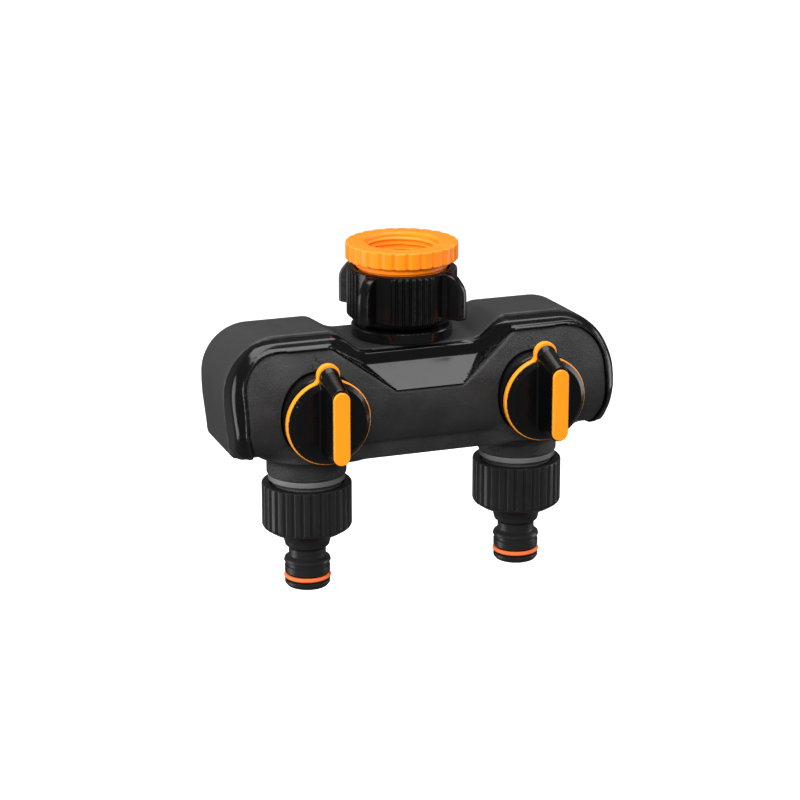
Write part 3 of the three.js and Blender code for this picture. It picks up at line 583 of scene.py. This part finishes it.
def wing_point(t, radius, reach):
    """A point of a wing's outline, across the wing and outwards; t runs from -1 to 1 over its spread."""
    foot = min(reach, radius + 1.4)      # end of the fillet
    side = abs(t)
    if side > FILLET_ENDS:
        turn = (1 - side) / (1 - FILLET_ENDS) * math.pi / 2
        across = WING_ROOT + (WING_HALF - WING_ROOT) * math.sin(turn)
        out = radius + (foot - radius) * (1 - math.cos(turn))
    elif side > SIDE_ENDS:
        share = (FILLET_ENDS - side) / (FILLET_ENDS - SIDE_ENDS)
        across = WING_HALF - WING_TAPER * share
        out = foot + max(reach - WING_EDGE - foot, 0) * share
    else:
        turn = side / SIDE_ENDS * math.pi / 2
        across = (WING_HALF - WING_TAPER) * math.sin(turn)
        out = reach - min(WING_EDGE, max(reach - radius, 0)) * (1 - math.cos(turn))
    return math.copysign(across, t), out


def inlet_nut():
    """Swivel nut: levels are outlines, each going round the wings and the ribs between them."""
    outside = [(17.5, NUT_TOP), (18.9, NUT_TOP), (19.2, -9.2), (NUT_BODY, -9.45)]
    outside += [(NUT_BODY, z) for z in (
        -9.6, -9.75, -9.9, -10.15, -10.4, -10.8, -11.2, -11.8, -12.4, -13.1, -13.8, -14.7, -15.6, -16.5, -17.5,
        -20.5, -23.5, -25.2, -25.5, -25.8, -26.0, -26.05, -26.4)]
    outside += [(19.35, NUT_FOOT), (19.1, -27.2), (18.7, -27.8), (18.1, -28.5), (17.6, -28.85), (17.3, -28.98),
                (17.0, NUT_BOTTOM)]
    inside = [(13.3, NUT_BOTTOM), (13.3, -25.7), (16.3, -25.7)]
    inside += [(NUT_BORE, z) for z in np.arange(-25.2, -10.6, 0.3)]
    inside += [(16.6, -10.4), (17.5, -9.35)]
    reach_levels = [-level for level, _ in WING_SIDE_VIEW]
    reaches = [reach for _, reach in WING_SIDE_VIEW]
    gap = 360 / WINGS - 2 * WING_SPREAD
    rib_first = gap / 2 - RIBS * RIB_STEP / 2
    rows = []
    for index, (radius, level) in enumerate(outside + inside):
        is_out = index < len(outside)
        winged = is_out and WING_BOTTOM - 0.02 <= level <= -9.45
        reach = np.interp(-level, reach_levels, reaches) if winged else radius
        rise = ease((-9.5 - level) / 0.6) * ease((level + 27.3) / 0.8) if is_out else 0.0
        row = []
        for wing in range(WINGS):
            centre = math.radians(WING_TURN + 360 / WINGS * wing)
            for t in np.linspace(-1, 1, 27):
                out, turn = radius, centre + math.radians(t * WING_SPREAD)
                if reach > radius + 1e-6:
                    across, out = wing_point(t, radius, reach)
                    turn = centre + math.asin(across / out)
                row.append((out * math.cos(turn), out * math.sin(turn), level))
            for along in np.linspace(0, gap, 92)[1:-1]:
                turn = centre + math.radians(WING_SPREAD + along)
                phase = (along - rib_first) / RIB_STEP
                lift = ease((0.36 - abs(phase % 1 - 0.5)) / 0.14) if 0 < phase < RIBS else 0.0
                out = radius + RIB_HIGH * lift * rise
                if not is_out and radius == NUT_BORE:
                    out = NUT_THREAD - 0.35 * thread(np.array(turn), level, NUT_PITCH, -10.6, -25.2)
                row.append((out * math.cos(turn), out * math.sin(turn), level))
        rows.append(row)
    return woven(np.array(rows, float))


def nut_clip():
    def field(x, y, z):
        ring = np.hypot(x, y)
        body = meet(meet(ring - 16.0, 11.8 - ring, 0.15), between(z, -25.3, -24.3), 0.2)
        return without(body, np.maximum(np.abs(x) - 4.5, -y), 0.3)
    return carved(field, (-16.2, -16.2, -25.5), (16.2, 16.2, -24.1), 0.3)


def inlet_spigot():
    return spun(filleted([
        (7.5, -23.6, 0.3), (12.9, -23.6, 0.4), (12.9, -24.2, 0.1), (11.6, -24.2, 0.1), (11.6, -25.4, 0.1),
        (12.9, -25.4, 0.1), (12.9, -30.1, 0.6), (18.0, -30.1, 0.45), (18.5, -30.7, 0.5), (18.5, -34.2, 0.5),
        (10.2, -34.2, 0.4), (10.2, -39.6, 0.1), (8.9, -39.6, 0.1), (8.9, -41.6, 0.1), (10.2, -41.6, 0.1),
        (10.2, -44.6, 0.6), (7.5, -44.6, 0.3)], 4), 160)


def ring_of(inner, outer, low, high, edge=0.25, segments=128):
    """A flat washer."""
    profile = [(inner, low, edge), (outer, low, edge), (outer, high, edge), (inner, high, edge)]
    return spun(filleted(profile, 3), segments)


def o_ring(radius, section, level, segments=128, along="z"):
    """A ring of round section."""
    turns = [2 * math.pi * k / 20 for k in range(20)]
    profile = [(radius + section * math.cos(a), level + section * math.sin(a)) for a in turns]
    return spun(profile, segments, None, along)


def cross_slot(x, z, half_width, half_length):
    """Cross recess of a screw head."""
    flat = np.maximum(np.abs(x) - half_width, np.abs(z) - half_length)
    upright = np.maximum(np.abs(z) - half_width, np.abs(x) - half_length)
    return np.minimum(flat, upright)


# ---------------------------------------------------------------- casing
CORNER_AT_PARTING, CORNER_AT_BACK = 20.5, 17.0      # outer corner radius of the humps
BEAD = 0.55              # height of the bead round the panel's opening
PANEL_INSET = 0.35       # how far the panel lies below the bezel's line
BOSS_RADIUS, BOSS_FLARE = 14.5, 19.4
KNOB_SEAT = 15.3         # radius of the round recess behind a knob
POST_RADIUS, SCREW_HOLE = 4.0, 1.8
SQUARE_FRONT_VIEW = outline_field(filleted([
    (-30, DECK_Z), (22.6, DECK_Z, 6), (32.4, HUMP_Z, 6), (HALF_WIDTH, HUMP_Z), (HALF_WIDTH, -51.5, 40),
    (71.4, -64, 30), (70.8, FLOOR_Z, 7.0), (-30, FLOOR_Z)], 12))
FRONT_SIDE_VIEW = outline_field(filleted([
    (12, -14.8), (-15.2, -26.3, 1.5), (-19.9, -28.3, 1.3), (-22.4, -31.4, 3), (-25.4, -36, 40),
    (-29.8, -45.6, 40), (-31.7, -54.5, 24), (-30.6, -61.6, 12), (-26.9, -67.4, 5), (-22, -70.9, 4),
    (12, -72.5)], 16))
OPENING_FRONT_VIEW = outline_field(filleted([
    (-30, -47.1), (12.6, -47.1, 2.0), (34.8, -31.2, 3.5), (68.4, -31.0, 13), (68.2, -59, 22), (65.7, -66, 16),
    (62.2, -82), (-30, -82)], 12))
SCREW_X, SCREW_Z = 61.6, (-42.0, -61.5)


def casing_wall(x, y, z):
    """The casing's sides. Behind the parting the humps fall and their corners tighten; the deck stays level."""
    share = np.clip((y - PARTING_Y) / CASING_DEPTH, 0, 1)
    side = np.abs(x) * (1 + SIDE_DRAFT / HALF_WIDTH * share)
    height = np.clip((z - DECK_Z) / (HUMP_Z - DECK_Z - HUMP_FALL * share), 0, 1)
    wall = SQUARE_FRONT_VIEW(side, z + HUMP_FALL * share * height)
    corner = CORNER_AT_PARTING + (CORNER_AT_BACK - CORNER_AT_PARTING) * share
    top = z - HUMP_Z + HUMP_FALL * share
    return meet(wall, meet(side - HALF_WIDTH, top, corner), 0.01)


def front_mass(x, y, z, inset):
    """The whole front of the casing, before it is split into bezel and panel."""
    edge = 2.3 + 3.2 * ease((-30 - z) / 12)
    return meet(casing_wall(x, PARTING_Y, z) + inset, FRONT_SIDE_VIEW(y, z) + inset, edge)


def plate_space(x, y, z):
    """The space above the smooth plate and in front of the step that rises to the deck, between the humps."""
    side = np.abs(x)
    down = 0.6155 * (y + 20) - 0.788 * (z + 39)
    step = 0.932 * (y + 20) - 0.362 * (z + 39)
    deck = 0.2425 * (y + 18.6) - 0.970 * (z + 35.4)
    band = 0.5228 * (side - 21.6) + 0.1989 * (y + 20) - 0.8289 * (z + 39)
    flank = 0.3466 * (side - 21.6) + 0.874 * (y + 20) - 0.34 * (z + 39)
    upper = join(step, deck, 0.35)
    return meet(meet(down, band, 0.25), meet(upper, flank, 0.4), 0.3)


def rear_shell():
    def field(x, y, z):
        side = np.abs(x)
        wall = casing_wall(x, y, z)
        rim = meet(between(z, DECK_Z - 2, -33.5), np.maximum(12.6 - y, side - 26), 0.5)
        rim = without(rim, np.hypot(x, y) - 18.9, 0.2)
        body = meet(join(wall, rim, 1.6), y - BACK_Y, 4.0)
        hollow = meet(wall + WALL, y - BACK_Y + WALL, 2.0)
        shell = without(body, hollow, 0.4)
        for level in SCREW_Z:
            post = disc_y(side - SCREW_X, y, z - level, POST_RADIUS, BACK_Y - 1, -5.8, 0.3)
            shell = join(shell, post, 0.6)
        for level in SCREW_Z:
            ring = np.hypot(side - SCREW_X, z - level)
            well = meet(ring - 3.75, 11.1 - y, 0.2)
            shell = without(shell, well, 0.45)
            shell = without(shell, meet(ring - SCREW_HOLE, -9 - y, 0.1), 0.1)
        boss = meet(np.hypot(side - OUTLET_X, y - OUTLET_Y) - BOSS_FLARE - GAP, z - FLOOR_Z - 3.2, 0.2)
        shell = without(shell, boss, 0.4)
        shell = without(shell, meet(np.hypot(x, y) - 10.5, DECK_Z - 8 - z, 0.2), 0.4)
        return without(shell, y - PARTING_Y - 0.15, 0.3)
    return carved(field, (-73.3, -16.4, -71), (73.3, 17.2, -26), 0.8)


def front_bezel():
    def field(x, y, z):
        side = np.abs(x)
        opening = OPENING_FRONT_VIEW(side, z)
        bead = BEAD * (1 - ease((opening - 0.8) / 0.5))
        space = plate_space(x, y, z)
        mass = front_mass(x, y, z, 0.0) - bead
        shell = without(mass, space, 0.35)
        hollow = without(front_mass(x, y, z, WALL), space - WALL, 0.5)
        shell = without(shell, hollow, 0.3)
        shell = without(shell, opening, 0.25)
        foot = np.maximum(side - 63, z - FLOOR_Z - 4.5)
        shell = without(shell, foot, 0.3)
        return meet(shell, y - PARTING_Y + 0.15, 0.3)
    return carved(field, (-73.2, -31.9, -71), (73.2, -16, -26), 0.6)


def drop_mark(x, z):
    """Outline of a small water drop."""
    round_part = np.hypot(x, z + 0.5) - 1.45
    share = np.clip((z + 0.5) / 3.1, 0, 1)
    tip = np.abs(x) - 1.45 * (1 - share) ** 0.85 * 0.92
    tip = np.maximum(tip * 0.85, np.maximum(-z - 0.5, z - 2.4))
    return np.abs(np.minimum(round_part, tip)) - 0.27


def front_shell():
    def field(x, y, z):
        side = np.abs(x)
        opening = OPENING_FRONT_VIEW(side, z)
        outer = front_mass(x, y, z, PANEL_INSET)
        body = meet(outer, opening + GAP, 0.7)
        lower_lip = meet(meet(side - 36, between(y, -26.5, -23.3), 0.8), between(z, -72.4, -66.5), 0.8)
        body = join(body, lower_lip, 1.0)
        column = np.hypot(side - OUTLET_X, y - OUTLET_Y)
        boss = meet(column - BOSS_RADIUS, between(z, -79.1, -56), 0.6)
        flare = meet(column - BOSS_FLARE, between(z, -70.7, -66.6), 0.4)
        body = join(body, join(boss, flare, 4.6), 4.2)
        hollow = meet(front_mass(x, y, z, WALL + 0.3), opening + GAP + WALL, 0.8)
        hollow = np.maximum(hollow, FLOOR_Z + WALL - 0.5 - z)
        body = without(body, hollow, 0.3)
        body = without(body, meet(column - 12.4, z - FLOOR_Z - 10.2, 0.2), 0.4)
        body = np.maximum(body, np.minimum(y - PARTING_Y + 0.15, z - FLOOR_Z - 1.5))
        dial = np.hypot(side - OUTLET_X, z - KNOB_Z)
        body = without(body, np.maximum(dial - KNOB_SEAT, y + 23.6), 0.7)
        body = without(body, dial - 13.8, 0.2)
        body = without(body, np.maximum(np.hypot(y + 8, z - KNOB_Z) - 10.3, side - OUTLET_X), 0.2)
        for level in SCREW_Z:
            ring = np.hypot(side - SCREW_X, z - level)
            post = np.maximum(meet(ring - POST_RADIUS, y + 6.2, 0.3), front_mass(x, y, z, 0.9))
            body = join(body, post, 0.5)
            body = without(body, np.maximum(ring - SCREW_HOLE, -18 - y), 0.1)
        mark = drop_mark(side - OUTLET_X, z + 35.4)
        raised = np.maximum(mark, np.maximum(outer - 0.22, -outer - 1.2))
        return join(body, raised, 0.12)
    return carved(field, (-69, -32, -79.4), (69, 8, -30.6), 0.6)


def casing_screw():
    def field(x, y, z):
        ring = np.hypot(x, z)
        angle = np.arctan2(z, x)
        turn = (y / 1.5 - angle / (2 * math.pi)) % 1
        ridge = 1 - np.abs(2 * turn - 1)
        shank = meet(ring - 1.12 - 0.4 * ridge * (y < 6), between(y, -17, 12), 0.2)
        shank = np.maximum(shank, ring - 0.5 - (y + 17) * 0.7)
        head = meet(ring - 3.3, between(y, 11.3, 13.4), 0.55)
        screw = join(shank, head, 0.3)
        depth = 11.9 + 0.5 * np.maximum(ring - 0.6, 0)
        return without(screw, np.maximum(cross_slot(x, z, 0.42, 1.75), depth - y), 0.1)
    return carved(field, (-3.5, -17.4, -3.5), (3.5, 13.8, 3.5), 0.22)


# ---------------------------------------------------------------- water body and valves
def valve_manifold():
    def field(x, y, z):
        side = np.abs(x)
        centre = np.hypot(x, y)
        cross = np.hypot(y + 8, z - KNOB_Z)
        body = meet(centre - 12.2, between(z, KNOB_Z - 7, -38.3), 0.6)
        body = join(body, np.maximum(cross - 9.8, side - OUTLET_X), 1.5)
        chamber = np.hypot(side - OUTLET_X, z - KNOB_Z)
        outlet = np.hypot(side - OUTLET_X, y - OUTLET_Y)
        body = join(body, meet(chamber - 13.4, between(y, -23.6, 5.5), 0.6), 1.0)
        body = join(body, np.maximum(outlet - 12, between(z, -95.4, KNOB_Z)), 1.0)
        turn = z / THREAD_PITCH - np.arctan2(y - OUTLET_Y, side - OUTLET_X) / (2 * math.pi)
        ridge = np.clip((1 - np.abs(2 * (turn % 1) - 1) - 0.12) / 0.76, 0, 1)
        body = join(body, meet(outlet - 12.1 - 1.0 * ridge, between(z, -96.4, -82.2), 0.5), 0.1)
        body = without(body, np.maximum(centre - 10.5, -44.9 - z), 0.3)
        body = without(body, np.maximum(centre - 8, between(z, KNOB_Z - 4.5, -38)), 0.3)
        body = without(body, np.maximum(cross - 6.5, side - OUTLET_X), 0.3)
        body = without(body, np.maximum(chamber - 11.4, y - 2.5), 0.3)
        body = without(body, np.maximum(outlet - 7.9, between(z, -69, KNOB_Z)), 0.2)
        return without(body, np.maximum(outlet - 6.2, z - KNOB_Z), 0.2)
    return carved(field, (-55, -25.5, -96.8), (55, 12.6, -38), 0.8)


def valve_plug(side):
    def field(x, y, z):
        ring = np.hypot(x, z)
        body = meet(ring - 10.9, between(y, -22, 2.1), 0.4)
        body = join(body, meet(ring - 5.6, between(y, -32.2, -20), 0.3), 0.5)
        body = join(body, meet(ring - 3.9, between(y, -36.3, -30), 0.3), 0.3)
        for middle in (0.6, -20.6):
            body = without(body, np.maximum(between(y, middle - 1, middle + 1), 9.6 - ring), 0.15)
        across = np.maximum(np.hypot(y + 8, z) - 6, side * x)
        down = np.maximum(np.hypot(x, y - OUTLET_Y) - 6, z)
        body = without(body, join(across, down, 1.0), 0.4)
        return without(body, np.maximum(ring - 1.7, y + 26.8), 0.2)
    return carved(field, (-11.2, -36.6, -11.2), (11.2, 2.4, 11.2), 0.5)


def seat_seal():
    def field(x, y, z):
        ring = np.hypot(x, y)
        body = np.maximum(meet(ring - 7.7, between(z, -68.8, KNOB_Z), 0.3), 6.4 - ring)
        return without(body, np.hypot(x, z - KNOB_Z) - 11.2, 0.2)
    return carved(field, (-8, -8, -69), (8, 8, -60), 0.35)


def valve_bonnet():
    return spun(filleted([
        (5.95, -22.3, 0.2), (10.9, -22.3, 0.4), (10.9, -24.0, 0.2), (15.0, -24.0, 0.3), (15.0, -32.1, 0.15),
        (14.75, -32.3, 0.1), (14.75, -32.6, 0.1), (15.0, -32.8, 0.1), (15.0, -33.3, 0.25), (5.95, -33.3, 0.2)],
        4), 160, None, "y")


# ---------------------------------------------------------------- knobs
DISC_Y, GRIP_Y = -37.95, -50.8       # foot of the cap's disc and outer face of its grip
DISC_SIDE_VIEW = outline_field(filleted([
    (-6, DISC_Y), (15.1, DISC_Y), (15.1, -38.2, 0.1), (13.3, -39.6, 0.4), (-6, -39.6)], 6), 0.06, 3.0)


def knob_base():
    return spun(filleted([
        (4.2, -33.6, 0.2), (14.7, -33.6, 0.3), (14.7, -34.1, 0.1), (15.0, -34.3, 0.2), (15.0, -35.5, 0.25),
        (4.2, -35.5, 0.2)], 4), 160, None, "y")


def knob_ring():
    def field(x, y, z):
        face = join(np.hypot(x, z) - 15.5, capsule(x, z, 4.2, 0, 21.2), 1.2)
        body = meet(face, between(y, -37.8, -35.65), 0.35)
        return without(body, np.hypot(x, z) - 4.2, 0.2)
    return carved(field, (-15.8, -38.1, -15.8), (15.8, -35.4, 21.5), 0.26)


def knob_cap():
    def field(x, y, z):
        disc = DISC_SIDE_VIEW(np.hypot(x, z), y)
        out = np.clip((DISC_Y - y) / (DISC_Y - GRIP_Y), 0, 1)
        top = 20.2 - 0.9 * ease(out / 0.16) - 3.7 * np.clip((out - 0.1) / 0.88, 0, 1)
        bar = capsule(x, z, 3.7 - 0.62 * out, -12.2, top) * 0.97
        bar = meet(bar, between(y, GRIP_Y, DISC_Y), 0.35)
        cap = np.maximum(join(disc, bar, 0.7), y - DISC_Y)
        return without(cap, np.maximum(np.hypot(x, z) - 3.0, -39.0 - y), 0.2)
    return carved(field, (-15.4, -51.1, -15.4), (15.4, -37.7, 20.5), 0.3)


def knob_strip():
    def field(x, y, z):
        return meet(capsule(x, z, 3.0, -11.7, 14.6), between(y, -51.9, -50.65), 0.4)
    return carved(field, (-3.2, -52.1, -12), (3.2, -50.4, 14.9), 0.22)


def knob_screw():
    def field(x, y, z):
        ring = np.hypot(x, z)
        turn = (y / 1.2 - np.arctan2(z, x) / (2 * math.pi)) % 1
        shank = meet(ring - 1.1 - 0.3 * (1 - np.abs(2 * turn - 1)), between(y, -36.4, -27.4), 0.2)
        head = meet(ring - 2.6, between(y, -37.7, -36.4), 0.5)
        screw = join(shank, head, 0.2)
        return without(screw, np.maximum(cross_slot(x, z, 0.35, 1.4), y + 36.9), 0.08)
    return carved(field, (-2.8, -38, -2.8), (2.8, -27, 2.8), 0.2)


# ---------------------------------------------------------------- outlets
FLUTES, FLUTE_DEEP = 30, 0.8
ADAPTER_BORE = 13.3


def tap_adapter():
    profile = filleted([
        (13.45, -82.7, 0.3), (16.35, -82.7, 0.6), (16.35, -98.6, 0.8), (15.8, -99.5, 0.8), (13.2, -101.2, 1.0),
        (9.9, -102.4, 1.2), (8.7, -104.0, 1.6), (8.1, -106.6, 0.6), (6.8, -107.8, 0.5), (6.8, -110.7, 0.4),
        (8.3, -111.8, 0.4), (8.6, -112.9, 0.2), (7.8, -113.1, 0.15), (7.8, -114.4, 0.15), (8.3, -114.6, 0.15),
        (8.3, -117.2, 0.3), (6.95, -117.2, 0.2), (6.95, -120.0, 0.2), (8.3, -120.0, 0.3), (8.25, -121.3, 0.4),
        (7.4, -122.4, 0.4), (5.4, -122.4, 0.3), (5.4, -99.0, 0.2), (12.6, -99.0, 0.3),
        (ADAPTER_BORE, -98.2, 0.2), (ADAPTER_BORE, -84.0, 0.3)], 5)
    profile = dense(profile, 0.45)

    def relief(angle, radius, level):
        phase = (angle * FLUTES / (2 * math.pi)) % 1
        groove = ease(1 - np.abs(phase - 0.5) / 0.24)
        skin = (radius > 13.6) * ease((-82.75 - level) / 0.5) * ease((level + 99.8) / 0.9)
        bore = (np.abs(radius - ADAPTER_BORE) < 0.05) & (level < -84) & (level > -98)
        radius = radius - FLUTE_DEEP * groove * skin
        return np.where(bore, 13.45 - 0.3 * thread(angle, level, THREAD_PITCH, -84.2, -97.8), radius)

    return spun(profile, 360, relief)


def outlet_ring():
    def field(x, y, z):
        ring = np.hypot(x, y)
        body = meet(ring - 14.0, between(z, -81.4, -79.35), 0.3)
        body = without(body, ring - 12.3, 0.3)
        return without(body, np.maximum(np.abs(x) - 2.5, 10 - y), 0.3)
    return carved(field, (-14.2, -14.2, -81.7), (14.2, 14.2, -79.1), 0.4)


# ---------------------------------------------------------------- every piece in its place
place("tap_reducer", tap_reducer(), FINISH["orange_plastic"])
place("tap_washer", ring_of(8.0, 11.9, -12.3, -10.1), FINISH["black_rubber"])
place("inlet_nut", inlet_nut(), FINISH["nut_black"], "swivel_nut")
place("inlet_washer", ring_of(8.0, 15.7, -23.45, -20.75), FINISH["black_rubber"])

place("nut_clip", nut_clip(), FINISH["inner_grey"])
place("inlet_spigot", inlet_spigot(), FINISH["gloss_black"])
place("spigot_o_ring", o_ring(9.7, 0.66, -40.6), FINISH["black_rubber"])
place("valve_manifold", valve_manifold(), FINISH["inner_grey"])
place("rear_shell", rear_shell(), FINISH["satin_black"])
place("front_bezel", front_bezel(), FINISH["gloss_black"])
place("front_shell", front_shell(), FINISH["grained_black"])
screw = casing_screw()
for row, level in enumerate(SCREW_Z):
    for column, side in enumerate((-1, 1)):
        number = row * 2 + column + 1
        place(f"casing_screw_{number}", moved(screw, side * SCREW_X, 0, level), FINISH["steel"])

KNOB_PARTS = {
    "plug_rear_o_ring": (o_ring(10.42, 0.66, 0.6, 96, "y"), "black_rubber"),
    "plug_front_o_ring": (o_ring(10.42, 0.66, -20.6, 96, "y"), "black_rubber"),
    "knob_base": (knob_base(), "gloss_black"),
    "knob_ring": (knob_ring(), "knob_orange"),
    "knob_screw": (knob_screw(), "steel"),
    "knob_cap": (knob_cap(), "nut_black"),
    "knob_strip": (knob_strip(), "knob_orange"),
}
OUTLET_PARTS = {
    "seat_seal": (seat_seal(), "black_rubber"),
    "outlet_ring": (outlet_ring(), "grey_plastic"),
    "outlet_washer": (ring_of(7.0, 13.0, -98.85, -96.55), "black_rubber"),
    "tap_adapter": (tap_adapter(), "adapter_black"),
    "nipple_o_ring": (o_ring(7.83, 0.78, -118.6), "seal_orange"),
}
bonnet = valve_bonnet()
for hand, side in SIDES:
    for part, (shape, slot) in KNOB_PARTS.items():
        place(f"{hand}_{part}", moved(shape, side * OUTLET_X, 0, KNOB_Z), FINISH[slot], f"{hand}_knob")
    plug = moved(valve_plug(side), side * OUTLET_X, 0, KNOB_Z)
    place(f"{hand}_valve_plug", plug, FINISH["white_plastic"], f"{hand}_knob")
    cover = moved(bonnet, side * OUTLET_X, 0, KNOB_Z)
    place(f"{hand}_valve_bonnet", cover, FINISH["gloss_black"])
    for part, (shape, slot) in OUTLET_PARTS.items():
        place(f"{hand}_{part}", moved(shape, side * OUTLET_X, OUTLET_Y, 0), FINISH[slot])


# ---------------------------------------------------------------- camera, light, floor
AZIMUTH, ELEVATION, DISTANCE = math.radians(-20.3), math.radians(16.9), 1.0
AIM = Vector((-0.0007, 0.0, -0.0601))
camera = bpy.data.objects.new("camera", bpy.data.cameras.new("camera"))
bpy.context.scene.collection.objects.link(camera)
level_out = math.cos(ELEVATION)
outward = Vector((math.sin(AZIMUTH) * level_out, -math.cos(AZIMUTH) * level_out, math.sin(ELEVATION)))
camera.location = AIM + outward * DISTANCE
camera.rotation_euler = (-outward).to_track_quat("-Z", "Y").to_euler()
camera.data.sensor_width = 36.0
camera.data.lens = 122.5
camera.data.clip_start, camera.data.clip_end = 0.05, 50
bpy.context.scene.camera = camera


def soft_box(name, place_at, look_at, width, height, power, mirrored=True):
    """An oblong studio light; one that isn't mirrored adds light without a highlight."""
    light = bpy.data.lights.new(name, "AREA")
    light.shape = "RECTANGLE"
    light.size, light.size_y, light.energy = width, height, power
    lamp = bpy.data.objects.new(name, light)
    lamp.location = place_at
    lamp.rotation_euler = (Vector(look_at) - Vector(place_at)).to_track_quat("-Z", "Y").to_euler()
    lamp.visible_glossy = mirrored
    bpy.context.scene.collection.objects.link(lamp)


MIDDLE = (0.0, 0.0, -0.06)
soft_box("top_box", (0.10, 0.02, 0.95), MIDDLE, 1.0, 0.85, 9.2)
soft_box("back_fill", (-0.30, 1.10, 0.75), MIDDLE, 1.1, 0.6, 7, False)
soft_box("left_box", (-1.05, 0.35, -0.15), MIDDLE, 0.5, 1.1, 4.5)
soft_box("left_fill", (-1.10, -0.25, 0.30), MIDDLE, 0.8, 0.8, 11, False)
soft_box("right_box", (1.10, -0.10, 0.10), MIDDLE, 0.45, 1.0, 4)
soft_box("front_fill", (-0.45, -1.35, 0.75), MIDDLE, 1.0, 0.8, 28, False)

world = bpy.data.worlds.new("studio")
bpy.context.scene.world = world
world.use_nodes = True
sky = world.node_tree.nodes["Background"]
sky.inputs["Color"].default_value = (1, 1, 1, 1)
paths = world.node_tree.nodes.new("ShaderNodeLightPath")
dimmer = world.node_tree.nodes.new("ShaderNodeMapRange")
dimmer.inputs["To Min"].default_value = 0.12
dimmer.inputs["To Max"].default_value = 1.0
world.node_tree.links.new(paths.outputs["Is Camera Ray"], dimmer.inputs["Value"])
world.node_tree.links.new(dimmer.outputs["Result"], sky.inputs["Strength"])

FLOOR_DROP, FLOOR_HALF = -0.42, 6.0
floor_mesh = bpy.data.meshes.new("floor")
corners = [(sx * FLOOR_HALF, sy * FLOOR_HALF, FLOOR_DROP) for sx, sy in ((-1, -1), (1, -1), (1, 1), (-1, 1))]
floor_mesh.from_pydata(corners, [], [(0, 1, 2, 3)])
floor = bpy.data.objects.new("floor", floor_mesh)
bpy.context.scene.collection.objects.link(floor)
pale = bpy.data.materials.new("pale_floor")
pale.use_nodes = True
paint = next(n for n in pale.node_tree.nodes if n.type == "BSDF_PRINCIPLED")
paint.inputs["Base Color"].default_value = (0.9, 0.9, 0.9, 1)
paint.inputs["Roughness"].default_value = 0.9
paint.inputs["Emission Color"].default_value = (1, 1, 1, 1)
paint.inputs["Emission Strength"].default_value = 0.95
floor_mesh.materials.append(pale)
floor.visible_glossy = False
floor.visible_diffuse = False

view = bpy.context.scene.view_settings
view.view_transform = "Standard"
view.look = "None"
bpy.context.scene.cycles.max_bounces = 8
